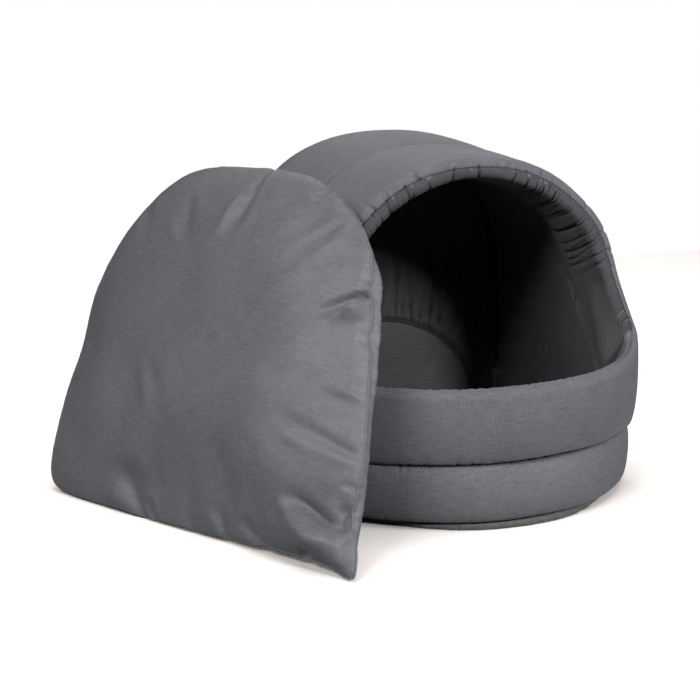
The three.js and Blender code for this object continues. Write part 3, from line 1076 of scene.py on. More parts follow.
    def lip_height(self, along: np.ndarray, from_tip: np.ndarray, arch: np.ndarray) -> np.ndarray:
        """Gives the height of the lip's seam, of its pleats and of the soft bend beside its roll.

        Args:
            along: Distance along the lip.
            from_tip: Distance from the tip of the lip, negative on the outside.
            arch: Distance along the lip of evenly spaced stations on the arch.

        Returns:
            The height.
        """
        total = np.zeros(np.broadcast(along, from_tip).shape)
        for pleats in (self.ticks, self.creases):
            at = np.interp(pleats.places, np.linspace(0.0, 1.0, len(arch)), arch)
            total += pleats.height(along, from_tip, at)
        fade = self.roll_fade
        on_arch = smooth(along, arch[0], arch[0] + fade) * (1.0 - smooth(along, arch[-1] - fade, arch[-1]))
        bend = np.exp(-(((from_tip - self.roll_mark) / 5.0) ** 2)) - 0.6 * np.exp(-(((from_tip + 8.0) / 6.0) ** 2))
        seam = np.exp(-((from_tip / self.seam_width) ** 2))
        run = self.seam_run
        on_seam = smooth(along, arch[0] - run, arch[0] - run / 2)
        on_seam *= 1.0 - smooth(along, arch[-1] + run / 2, arch[-1] + run)
        return total - self.roll_bend * bend * on_arch - self.seam_depth * seam * on_seam

    def build(self) -> None:
        """Builds the ring."""
        lines = (*self.stations(0.0), *self.stations(self.form.wall))
        points, from_sewn, from_tip = self.section(lines)
        lip_along, arch = self.lip_lengths(lines)
        sewn_along = lengths_along(np.concatenate([lines[0], lines[0][:1]]))
        length = float(sewn_along[-1])
        outside = (from_tip < 0).astype(float)
        sewn = sewn_along[:-1, None]
        rise = sum(gathers.height(sewn, from_sewn, length) * outside for gathers in self.sewn_gathers)
        rise += self.lip_height(lip_along[:, None], from_tip, arch)
        on_front = 1.0 - smooth(points[..., 2], *self.crest_heights)
        inner_seam = np.abs(from_tip - self.crest_seam)
        rise += self.crest_gathers.height(lip_along[:, None], inner_seam, ENDLESS) * on_front
        rise += self.uneven.height(points)
        sewn_mid = (lines[0] + lines[2])[:, None, :] / 2
        lip_mid = (lines[1] + lines[3])[:, None, :] / 2
        centre = mix(sewn_mid, lip_mid, 0.5 * np.ones(points.shape[:2])[..., None])
        points = raised(points, rise, True, centre)
        ring = tube_object("hood_front", points, True)
        dress(ring, self.finishes.outer, ["front_hood"])


@dataclass
class BackHood:
    """Rear channel of the hood."""

    form: HouseForm
    finishes: Finishes
    hood: FrontHood
    rear_draw: float = 6.0
    inner_rear_draw: float = 5.0
    arch_sections: int = 420
    face_columns: int = 44
    groove_gathers: Gathers = Gathers(31, 16.0, 1.4, 1.6, 7.0)
    rear_gathers: Gathers = Gathers(32, 15.0, 1.3, 1.8, 9.0)
    uneven: Unevenness = Unevenness(33, 130.0, 0.8)

    def build(self) -> None:
        """Builds the channel."""
        form = self.form
        part = np.linspace(0.0, 1.0, self.arch_sections)[:, None]
        across = eased(self.face_columns)[None, :]
        deep = self.hood.draw_at(form.groove(part, 0.0, 0.0)[..., 2])
        flat = 1.0 - swell(across, self.hood.steepness)
        drawn = mix(deep, self.rear_draw, across) * flat
        drawn_inside = mix(deep * self.hood.inner_share, self.inner_rear_draw, across) * flat
        outer = form.rear(part, across, drawn, form.belt_end)
        inner = form.rear(part, across, form.wall - drawn_inside, form.belt_inner_end)
        along = lengths_along(outer[:, 0])[:, None]
        length = float(along[-1, 0])
        near = np.linalg.norm(outer - outer[:, :1], axis=-1)
        far = np.linalg.norm(outer - outer[:, -1:], axis=-1)
        rise = self.groove_gathers.height(along, near, length)
        rise += self.rear_gathers.height(along, far, length)
        rise += self.uneven.height(outer)
        outer = raised(outer, rise, False, inner)
        channel = tube_object("hood_rear", paired(outer, inner), False)
        dress(channel, self.finishes.outer, ["back_hood"])


@dataclass
class BackPanel:
    """Padded D-shaped end of the hood."""

    form: HouseForm
    finishes: Finishes
    crown: float = 5.0
    arch_sections: int = 300
    rays: int = 44
    rim_gathers: Gathers = Gathers(41, 15.0, 1.3, 1.8, 9.0)
    foot_gathers: Gathers = Gathers(42, 16.0, 1.4, 1.6, 7.0)
    uneven: Unevenness = Unevenness(43, 120.0, 0.8)

    def shells(self) -> tuple[np.ndarray, np.ndarray]:
        """Draws the crowned outer face and the flat inner face.

        Returns:
            Points of each face, in rows that run from the rim to the middle of the foot.
        """
        form = self.form
        foot = form.low_seam + form.piece_gap
        part = np.linspace(0.0, 1.0, self.arch_sections)[:, None]
        scale = 1.0 - eased(self.rays)[None, :]
        outer_draw = float(form.corner_inset(np.array(form.belt_end))) + form.piece_gap
        half = form.half_width - outer_draw
        rim_x, rim_z = form.arch(part, half, form.roof_back - outer_draw, foot, form.belt_roundness)
        x, z = rim_x * scale, mix(foot, rim_z, scale)
        side = form.back_depth * scale * half / form.half_width
        flat = form.back_depth * (1.0 - form.corner_inset(side) / form.half_width)
        height_share = (z - foot) / (form.roof_back - foot)
        puff = np.clip(1.0 - scale**4, 0.0, 1.0) * swell(np.clip(height_share, 0.0, 1.0), 0.5)
        outer = np.stack([x, flat + form.piece_gap + self.crown * puff, z], -1)
        inner_draw = form.wall + form.piece_gap
        inner_half = form.half_width - inner_draw
        in_x, in_z = form.arch(part, inner_half, form.roof_back - inner_draw, foot, form.belt_roundness)
        inner_y = np.full_like(x, form.belt_inner_end + form.piece_gap)
        return outer, np.stack([in_x * scale, inner_y, mix(foot, in_z, scale)], -1)

    def build(self) -> None:
        """Builds the panel."""
        form = self.form
        outer, inner = self.shells()
        x, z = outer[..., 0], outer[..., 2]
        rim = lengths_along(outer[:, 0])[:, None]
        from_rim = np.linalg.norm(outer - outer[:, :1], axis=-1)
        rise = self.rim_gathers.height(rim, from_rim, float(rim[-1, 0]))
        rise += self.foot_gathers.height(x, z - (form.low_seam + form.piece_gap), 2 * form.half_width)
        rise += self.uneven.height(outer)
        outer[..., 1] += rise * smooth(from_rim, 0.0, 3.0)
        index = numbered(*outer.shape[:2])
        back = index + index.size
        edges = [np.stack([back[:-1, 0], back[1:, 0], index[1:, 0], index[:-1, 0]], -1)]
        edges += [np.stack([index[0, :-1], index[0, 1:], back[0, 1:], back[0, :-1]], -1)]
        edges += [np.stack([back[-1, :-1], back[-1, 1:], index[-1, 1:], index[-1, :-1]], -1)]
        faces = np.concatenate([corners_of(index), corners_of(back)[:, ::-1], *edges])
        points = np.concatenate([outer.reshape(-1, 3), inner.reshape(-1, 3)])
        marks = points[faces][..., [0, 2]] * MM
        panel = surface_object("end_panel", to_row_frame(points), faces, marks)
        dress(panel, self.finishes.outer, ["back_panel"])


@dataclass
class HoodLining:
    """Cloth that lines the hood, gathered where it is sewn to the lip."""

    form: HouseForm
    finishes: Finishes
    hood: FrontHood
    thickness: float = 0.8
    proud: float = 0.5
    sections: int = 640
    rear_columns: int = 22
    foot_rows: int = 12
    gather_depth: float = 4.2
    # Distances from the lip's seam between which the cloth lies down flat, how many weak gathers there are,
    # and how strong the gathers on the left are beside those on the right
    gather_ends: tuple[float, float] = (45.0, 110.0)
    weak_gathers: int = 54
    left_share: float = 0.5
    end_draw: float = 5.0
    groove_ridge: tuple[float, float] = (2.4, 7.0)
    groove_wrinkles: Gathers = Gathers(52, 19.0, 1.6, 3.0, 34.0, lean=0.35)
    end_wrinkles: Gathers = Gathers(53, 13.0, 1.8, 3.2, 40.0, lean=0.3)
    # The crease on the sides: height and width of its step and depth of the trough before it
    crease_step: float = 3.0
    crease_width: float = 2.2
    crease_trough: float = 1.0
    # Where the crease runs: a low and a high point of it, as height and distance behind the groove
    crease_low: tuple[float, float] = (150.0, -16.0)
    crease_high: tuple[float, float] = (245.0, 20.0)
    # Where the strong gathers start on the lip, as shares of the arch from its right foot
    strong: tuple[float, ...] = (
        0.149, 0.163, 0.186, 0.194, 0.214, 0.241, 0.25, 0.277, 0.287, 0.318, 0.33, 0.362, 0.371,
    )

    def gathers(self, along: np.ndarray, away: np.ndarray, length: float) -> np.ndarray:
        """Gives the height of the gathers beside the lip.

        Args:
            along: Distance along the lip.
            away: Distance from the seam on the lip.
            length: Length of the lip.

        Returns:
            The height, never negative.
        """
        rng = np.random.default_rng(51)
        share = along / length
        above_feet = smooth(share, 0.1, 0.15) * (1.0 - smooth(share, 0.85, 0.9))
        on_top = np.exp(-(((share - 0.5) / 0.08) ** 2))
        crown = smooth(away, 0.5, 9.0) * (1.0 - smooth(away, *self.gather_ends)) * above_feet * (1.0 - 0.7 * on_top)
        carved = np.zeros_like(crown)
        mirrored = [1.0 - place + rng.normal(0.0, 0.004) for place in self.strong]
        weak = rng.uniform(0.12, 0.88, self.weak_gathers)
        for number, place in enumerate([*self.strong, *mirrored, *weak]):
            is_strong = number < 2 * len(self.strong)
            strength = rng.uniform(0.55, 1.15) if is_strong else rng.uniform(0.12, 0.5)
            strength *= 1.0 if place < 0.45 else self.left_share
            start = 0.0 if is_strong else rng.choice([0.0, 18.0, 40.0])
            reach = rng.uniform(55.0, 125.0) if is_strong else rng.uniform(14.0, 50.0)
            sag = -1.0 if place < 0.5 else 1.0
            lean = sag * rng.uniform(0.24, 0.52)
            bend = -lean * rng.uniform(0.0055, 0.009)
            aside = along - place * length - lean * away - bend * away**2
            width = rng.uniform(0.8, 1.3) + away * rng.uniform(0.01, 0.03)
            fade = np.exp(-((np.maximum(away - start, 0.0) / reach) ** 3)) * smooth(away, start - 8.0, start)
            carved += strength * np.exp(-((aside / width) ** 2)) * fade
        return np.maximum(self.gather_depth * crown * (1.0 - np.minimum(carved, 1.0)), 0.0)

    def crease(self, heights: np.ndarray, behind: np.ndarray) -> np.ndarray:
        """Gives the height of the crease that slants down each side of the lining.

        Args:
            heights: Height of each point above the floor.
            behind: Distance of each point behind the groove.

        Returns:
            The height, negative in the trough before the crease.
        """
        (low, early), (high, late) = self.crease_low, self.crease_high
        past = behind - mix(early, late, (heights - low) / (high - low))
        step = smooth(past, -self.crease_width, self.crease_width) * (1.0 - smooth(past, 5.0, 60.0))
        trough = np.exp(-(((past + 3.2) / 2.4) ** 2))
        on_side = 1.0 - smooth(heights, 235.0, 275.0)
        return on_side * (self.crease_step * step - self.crease_trough * trough)

    def parts(self) -> np.ndarray:
        """Spreads the sections over the arch, closer together where the gathers are deep.

        Returns:
            Where each section lies, from 0 at the right foot to 1 at the left foot.
        """
        even = np.linspace(0.0, 1.0, 400)
        closeness = np.cumsum(0.6 + smooth(even, 0.08, 0.14) - 0.8 * smooth(even, 0.4, 0.46))
        return np.interp(np.linspace(closeness[0], closeness[-1], self.sections), closeness, even)

    def laid(self, lines: Sequence[np.ndarray], parts: np.ndarray) -> tuple[np.ndarray, np.ndarray, np.ndarray]:
        """Lays the cloth on the padding, from the seam on the lip over the groove to the back.

        Args:
            lines: Groove and lip of the outer shell, then of the inner shell.
            parts: Where each section lies on the arch.

        Returns:
            The points, their distance from the seam on the lip, and their distance behind the groove.
        """
        form, hood = self.form, self.hood
        ring, _, from_tip = hood.section(lines, self.proud)
        middle = hood.channel_columns + hood.roll_columns - 1
        front, away = ring[:, middle:], from_tip[:, middle:]
        across = eased(self.rear_columns)[None, 1:]
        deep = hood.draw_at(lines[0][:, None, 2])
        drawn = mix(deep * hood.inner_share, self.end_draw, across) * (1.0 - swell(across, hood.steepness))
        rear = form.rear(parts[:, None], across, form.wall - drawn + self.proud, form.lining_end)
        points = np.concatenate([front, rear], axis=1)
        rear_away = away[:, -1:] + np.linalg.norm(rear - front[:, -1:], axis=-1)
        all_away = np.concatenate([away, rear_away], axis=1)
        return points, all_away, all_away - away[:, -1:]

    def height(
        self, points: np.ndarray, away: np.ndarray, behind: np.ndarray, lines: Sequence[np.ndarray]
    ) -> np.ndarray:
        """Gives the height of the gathers, the wrinkles, the crease and the ridge on the groove.

        Args:
            points: Points of the cloth on the padding.
            away: Their distance from the seam on the lip.
            behind: Their distance behind the groove.
            lines: Groove and lip of the outer shell, then of the inner shell.

        Returns:
            The height over the padding.
        """
        along = lengths_along(lines[1])
        tangent = np.gradient(points[:, 0], axis=0)
        tangent /= np.linalg.norm(tangent, axis=-1, keepdims=True)
        reach = points - points[:, :1]
        sideways = np.sum(reach * tangent[:, None], axis=-1)
        slant = np.clip(sideways / np.maximum(np.linalg.norm(reach, axis=-1), 1.0), -0.95, 0.95)
        rise = self.gathers(along[:, None] + sideways, away * np.sqrt(1.0 - slant**2), float(along[-1]))
        near_lip = 1.0 - smooth(away, 20.0, 30.0)
        rise += self.hood.lip_height(along[:, None], np.minimum(away, 40.0), along) * near_lip
        groove_along = lengths_along(lines[0])[:, None]
        wrinkles = self.groove_wrinkles.height(groove_along, np.abs(behind), ENDLESS)
        from_end = np.linalg.norm(points - points[:, -1:], axis=-1)
        wrinkles += self.end_wrinkles.height(groove_along, from_end, ENDLESS)
        rise += np.maximum(wrinkles + 2.0, 0.0) * smooth(away, 30.0, 60.0)
        rise += self.crease(points[..., 2], behind)
        ridge_height, ridge_width = self.groove_ridge
        return rise + ridge_height * np.exp(-((behind / ridge_width) ** 2))

    def build(self) -> None:
        """Builds the lining."""
        form, parts = self.form, self.parts()
        lines = tuple(
            line
            for inset in (0.0, form.wall)
            for line in (form.groove(parts, inset, 0.0), form.lip(parts, inset))
        )
        points, away, behind = self.laid(lines, parts)
        rise = self.height(points, away, behind, lines)
        inside = np.array([0.0, 150.0, 120.0])
        outside = inside + 1e3 * (points - inside)
        under = raised(points, rise, False, outside)
        upper = raised(under, np.full(points.shape[:2], self.thickness), False, outside)
        lining = tube_object("gathered_lining", paired(self.with_feet(under), self.with_feet(upper)), False)
        # The lining's darker tones are painted shade of the hood's inside
        dress(lining, self.finishes.lining, ["hood_lining"])

    def with_feet(self, points: np.ndarray) -> np.ndarray:
        """Carries the cloth on from both feet of the hood, down the wall to the floor.

        Args:
            points: Rows by columns of points, from the right foot to the left foot.

        Returns:
            The same with more rows before and after.
        """
        form, hood = self.form, self.hood
        bottom = form.floor_top + 1.0
        shares = np.linspace(0.0, 1.0, self.foot_rows + 1)[1:, None]
        rising = lambda z: hood.thickness((z - form.low_seam) / (form.crest - form.low_seam), hood.lip_walls[0])
        feet = []
        for row in (points[0], points[-1]):
            heights = mix(row[None, :, 2], bottom, shares)
            deeper = np.maximum(rising(heights) - rising(row[None, :, 2]), 0.0) + 0.6 * smooth(shares, 0.0, 0.3)
            inward = np.array([0.0, 100.0]) - row[:, :2]
            inward /= np.linalg.norm(inward, axis=1, keepdims=True)
            foot = np.empty((self.foot_rows, len(row), 3))
            foot[..., :2] = row[None, :, :2] + deeper[..., None] * inward
            foot[..., 2] = heights
            above = smooth(foot[..., 2:], form.low_seam - 9.0, form.low_seam + 4.0)
            feet.append(mix(form.foot_shift(foot), foot, above))
        return np.concatenate([feet[0][::-1], points, feet[1]])


@dataclass
class BackLining:
    """Half disc on the back wall and the crescent of cloth that is gathered around it."""

    form: HouseForm
    finishes: Finishes
    radius: float = 130.0
    squat: float = 0.92
    thickness: float = 1.2
    rim_draw: float = 23.5
    sections: int = 460
    columns: int = 40
    disc_sections: int = 160
    disc_rings: int = 26
    disc_crown: float = 3.5
    fold_depth: float = 7.0
    folds: tuple[Gathers, ...] = (
        Gathers(61, 6.5, 4.4, 1.6, 80.0, lean=0.16, weakest=0.5),
        Gathers(62, 19.0, 5.0, 3.6, 120.0, lean=0.24, weakest=0.45),
    )
    uneven: Unevenness = Unevenness(64, 70.0, 0.3)

    def crescent(self) -> None:
        """Builds the gathered crescent."""
        form = self.form
        foot = form.floor_top + form.piece_gap
        back = form.belt_inner_end - form.piece_gap
        part = np.linspace(0.0, 1.0, self.sections)[:, None]
        out = eased(self.columns, False)[None, :]
        angle = np.pi * part
        disc_x = self.radius * np.cos(angle)
        disc_z = foot + self.squat * self.radius * np.sin(angle)
        half = form.half_width - self.rim_draw
        rim_x, rim_z = form.arch(part, half, form.roof_back - self.rim_draw, foot, form.belt_roundness)
        x, z = mix(disc_x, rim_x, out), mix(disc_z, rim_z, out)
        away = np.hypot(x - disc_x, z - disc_z)
        along = lengths_along(np.concatenate([disc_x, 0.0 * disc_x, disc_z], -1))[:, None]
        span = float(np.max(np.hypot(rim_x - disc_x, rim_z - disc_z)))
        flat_rim = smooth(np.hypot(x - rim_x, z - rim_z), 2.0, 14.0)
        rise = self.fold_depth * smooth(away, 0.0, 9.0) * (1.0 - 0.5 * smooth(away, 40.0, span)) * flat_rim
        folds = sum(gathers.height(along, away, ENDLESS) for gathers in self.folds)
        rise += folds * smooth(away, 0.0, 14.0)
        y = back - self.thickness - np.maximum(rise, 0.0)
        near = np.stack([x, y, z], -1)
        far = np.stack([x, np.full_like(y, back), z], -1)
        piece = tube_object("lining_crescent", paired(near, far), False, flat=True)
        # The lining's darker tones are painted shade at the back of the hood
        dress(piece, self.finishes.lining, ["back_lining"])

    def disc(self) -> None:
        """Builds the half disc."""
        form = self.form
        foot = form.floor_top + form.piece_gap
        back = form.belt_inner_end - form.piece_gap
        part = np.linspace(0.0, 1.0, self.disc_sections)[:, None]
        scale = 1.0 - eased(self.disc_rings, False)[None, :]
        reach = (self.radius - 1.0) * scale
        x = reach * np.cos(np.pi * part)
        z = foot + self.squat * reach * np.sin(np.pi * part)
        crown = self.disc_crown * (1.0 - scale**6) ** 0.6 + np.zeros_like(x)
        crown += self.uneven.height(np.stack([x, 0.0 * x, z], -1))
        near = np.stack([x, back - self.thickness - np.maximum(crown, 0.2), z], -1)
        far = np.stack([x, np.full_like(x, back), z], -1)
        piece = tube_object("lining_disc", paired(near, far), False, flat=True)
        # The disc's darker tones are painted shade at the back of the hood
        dress(piece, self.finishes.disc, ["back_disc"])

    def build(self) -> None:
        """Builds both pieces."""
        self.crescent()
        self.disc()


@dataclass
class FloorPanel:
    """Padded floor inside the walls."""

    form: HouseForm
    finishes: Finishes
    bottom: float = 5.4
    rim: float = 0.97
    sections: int = 240
    rings: int = 30
    rim_top: float = 9.0
    uneven: Unevenness = Unevenness(71, 90.0, 0.5)

    def build(self) -> None:
        """Builds the floor."""
        form = self.form
        turns = form.around(self.sections)[:, None]
        # The innermost ring is narrow, so that the faces in the middle have a width
        scale = np.sort(np.append(1.0 - eased(self.rings, False), [0.02]))[::-1][None, :-1]
        middle = form.middle
        edge = mix(middle, form.footprint(turns, form.wall, 0.0), self.rim)
        flat = mix(middle, edge, scale[..., None])
        top = mix(self.rim_top, form.floor_top, np.clip(1.0 - scale**8, 0.0, 1.0) ** 0.5)
        upper, lower = flat.copy(), flat.copy()
        upper[..., 2] = top + np.minimum(self.uneven.height(flat), 0.4)
        lower[..., 2] = self.bottom
        panel = tube_object("floor_pad", form.foot_shift(paired(upper, lower)), True)
        # The floor pad takes the lining's darker tones, which are painted shade of the hood's inside
        dress(panel, self.finishes.lining, ["floor_panel"])


class NodeWorks:
    """Geometry node trees that repeat small shapes, and the way to run them."""

    def __init__(self) -> None:
        """Builds the trees."""
        self.stitches = self._stitches()
        self.fibres = self._fibres()

    @staticmethod
    def _tree(name: str, values: dict[str, float]) -> bpy.types.NodeTree:
        """Starts a tree that takes geometry, some values, a seed and a material.

        Args:
            name: Name of the tree.
            values: Default of each value.

        Returns:
            The tree.
        """
        tree = bpy.data.node_groups.new(name, "GeometryNodeTree")
        kinds = {"Geometry": "Geometry", **dict.fromkeys(values, "Float"), "Seed": "Int", "Material": "Material"}
        for key, kind in kinds.items():
            socket = tree.interface.new_socket(name=key, in_out="INPUT", socket_type="NodeSocket" + kind)
            if key in values:
                socket.default_value = values[key]
        tree.interface.new_socket(name="Geometry", in_out="OUTPUT", socket_type="NodeSocketGeometry")
        return tree

    @staticmethod
    def _end(tree: bpy.types.NodeTree, feeds: dict[str, object], material: bpy.types.NodeSocket) -> None:
        """Ends a tree with instances on points, as real geometry that has its material.

        Args:
            tree: The tree.
            feeds: What goes into the node that lays the instances.
            material: Output that carries the material.
        """
        laid = new_node(tree, "GeometryNodeInstanceOnPoints", feeds).outputs[0]
        real = new_node(tree, "GeometryNodeRealizeInstances", {0: laid}).outputs[0]
        coloured = new_node(tree, "GeometryNodeSetMaterial", {"Geometry": real, "Material": material}).outputs[0]
        new_node(tree, "NodeGroupOutput", {0: coloured})

    def _stitches(self) -> bpy.types.NodeTree:
        """Builds the tree that sews stitches along a curve.

        Returns:
            The tree.
        """
        tree = self._tree("stitch_row", {"Spacing": 0.0042, "Length": 0.0032, "Radius": 0.00035})
        given = new_node(tree, "NodeGroupInput").outputs
        feeds = {"Curve": given["Geometry"], "Length": given["Spacing"]}
        spots = new_node(tree, "GeometryNodeCurveToPoints", feeds, mode="LENGTH").outputs
        grain = new_node(tree, "GeometryNodeMeshUVSphere", {"Segments": 6, "Rings": 5, "Radius": 1.0}).outputs["Mesh"]
        half = sum_of(tree, "MULTIPLY", given["Length"], 0.5)
        size = new_node(tree, "ShaderNodeCombineXYZ", {0: half, 1: given["Radius"], 2: given["Radius"]}).outputs[0]
        shaped = new_node(tree, "GeometryNodeTransform", {"Geometry": grain, "Scale": size}).outputs[0]
        turned = new_node(tree, "FunctionNodeAlignRotationToVector", {"Vector": spots["Tangent"]}, axis="X")
        feeds = {2: 0.88, 3: 1.08, "Seed": given["Seed"]}
        scale = new_node(tree, "FunctionNodeRandomValue", feeds, data_type="FLOAT").outputs[1]
        feeds = {"Points": spots["Points"], "Instance": shaped, "Rotation": turned.outputs[0], "Scale": scale}
        self._end(tree, feeds, given["Material"])
        return tree

    def _fibres(self) -> bpy.types.NodeTree:
        """Builds the tree that lets short fibres stand out of a surface.

        Returns:
            The tree.
        """
        tree = self._tree("loose_fibres", {"Density": 4e5, "Length": 0.003, "Radius": 0.00007})
        given = new_node(tree, "NodeGroupInput").outputs
        feeds = {"Mesh": given["Geometry"], "Density": given["Density"], "Seed": given["Seed"]}
        spots = new_node(tree, "GeometryNodeDistributePointsOnFaces", feeds, distribute_method="RANDOM").outputs
        bent = {"Resolution": 3, "Start": (0.0, 0.0, 0.0), "Middle": (0.1, 0.0, 0.5), "End": (0.45, 0.0, 0.75)}
        line = new_node(tree, "GeometryNodeCurveQuadraticBezier", bent).outputs[0]
        length = new_node(tree, "ShaderNodeCombineXYZ", dict.fromkeys(range(3), given["Length"])).outputs[0]
        scaled = new_node(tree, "GeometryNodeTransform", {"Geometry": line, "Scale": length}).outputs[0]
        ring = new_node(tree, "GeometryNodeCurvePrimitiveCircle", {"Resolution": 3, "Radius": given["Radius"]})
        feeds = {"Curve": scaled, "Profile Curve": ring.outputs[0], "Fill Caps": True}
        hair = new_node(tree, "GeometryNodeCurveToMesh", feeds).outputs[0]
        feeds = {0: (-0.9, -0.9, -math.pi), 1: (0.9, 0.9, math.pi), "Seed": given["Seed"]}
        chance = new_node(tree, "FunctionNodeRandomValue", feeds, data_type="FLOAT_VECTOR").outputs[0]
        feeds = {0: spots["Rotation"], 1: chance}
        turned = new_node(tree, "FunctionNodeRotateRotation", feeds, rotation_space="LOCAL").outputs[0]
        self._end(tree, {"Points": spots["Points"], "Instance": hair, "Rotation": turned}, given["Material"])
        return tree

    @staticmethod
    def run(base: bpy.types.Object, tree: bpy.types.NodeTree, name: str, **values: object) -> bpy.types.Object:
        """Runs a tree on an object and keeps the result as a plain mesh. The object is removed.

        Args:
            base: The object that the tree starts from.
            tree: The tree.
            name: Name of the new piece.
            values: Values of the tree's inputs.

        Returns:
            The new piece.
        """
        modifier = base.modifiers.new(tree.name, "NODES")
        modifier.node_group = tree
        known = {item.name: item.identifier for item in tree.interface.items_tree if item.in_out == "INPUT"}
        for key, value in values.items():
            modifier[known[key]] = value
        graph = bpy.context.evaluated_depsgraph_get()
        mesh = bpy.data.meshes.new_from_object(base.evaluated_get(graph), depsgraph=graph)
        base.modifiers.remove(modifier)
        bpy.data.objects.remove(base)
        mesh.shade_smooth()
        return add_object(name, mesh)


@dataclass
class FeltBase:
    """Felt sheet under the house, with a fuzzy cut edge."""

    form: HouseForm
    finishes: Finishes
    works: NodeWorks
    inset: float = 5.0
    side_inset: float = 20.0
    sections: int = 640
    edge_rows: int = 8
    fibre_density: float = 5.5e5
    fibre_length: float = 0.0021
    wobbles: tuple[Unevenness, ...] = (Unevenness(81, 16.0, 0.35), Unevenness(82, 5.0, 0.16))

    def build(self) -> None:
        """Builds the felt and its loose fibres."""
        form = self.form
        turns = form.around(self.sections)[:, None]
        angle = np.linspace(-np.pi / 2, np.pi / 2, self.edge_rows)[None, :]
        half = form.felt_top / 2
        beside = smooth(np.abs(turns), 0.06, 0.34) * (1.0 - smooth(np.abs(turns), 0.6, 0.8))
        inset = mix(self.inset, self.side_inset, beside) + half * 0.5 * (1.0 - np.cos(angle))
        edge = form.footprint(turns, inset, half + half * np.sin(angle))
        wobble = sum(uneven.height(edge) for uneven in self.wobbles)
        middle = form.middle
        outward = edge - middle
        outward[..., 2] = 0.0
        outward /= np.linalg.norm(outward, axis=-1, keepdims=True)
        edge = edge + outward * wobble[..., None]
        under = [mix(middle, edge[:, 0] * [1, 1, 0], share) for share in (0.02, 0.5, 0.9)]
        over = [mix(middle, edge[:, -1] * [1, 1, 0], share) + [0, 0, form.felt_top] for share in (0.9, 0.5, 0.02)]
        sections = np.concatenate([edge, np.stack([*over, *under], 1)], axis=1)
        felt = tube_object("felt_sheet", form.foot_shift(sections), True)
        fibres = self.fibres(form.foot_shift(edge))
        dress(felt, self.finishes.felt, ["base_felt"])
        dress(fibres, self.finishes.felt)

    def fibres(self, edge: np.ndarray) -> bpy.types.Object:
        """Grows loose fibres on the edge.

        Args:
            edge: Rows by columns of the edge's points.

        Returns:
            The piece.
        """
        strip = edge[:, 1:-1]
        index = numbered(*strip.shape[:2])
        faces = corners_of(np.concatenate([index, index[:1]]))
        base = add_object("felt_edge", plain_mesh("felt_edge", to_row_frame(strip.reshape(-1, 3)), faces))
        felt = self.finishes.felt
        values = {"Density": self.fibre_density, "Length": self.fibre_length, "Seed": 83, "Material": felt}
        return NodeWorks.run(base, self.works.fibres, "felt_fibres", **values)


@dataclass(frozen=True)
class Fold:
    """A valley in the cushion's face: from a place at its rim to a place where it has faded away."""

    start_along: float
    start_up: float
    end_along: float
    end_up: float
    depth: float
    width: float
    inside: bool = False


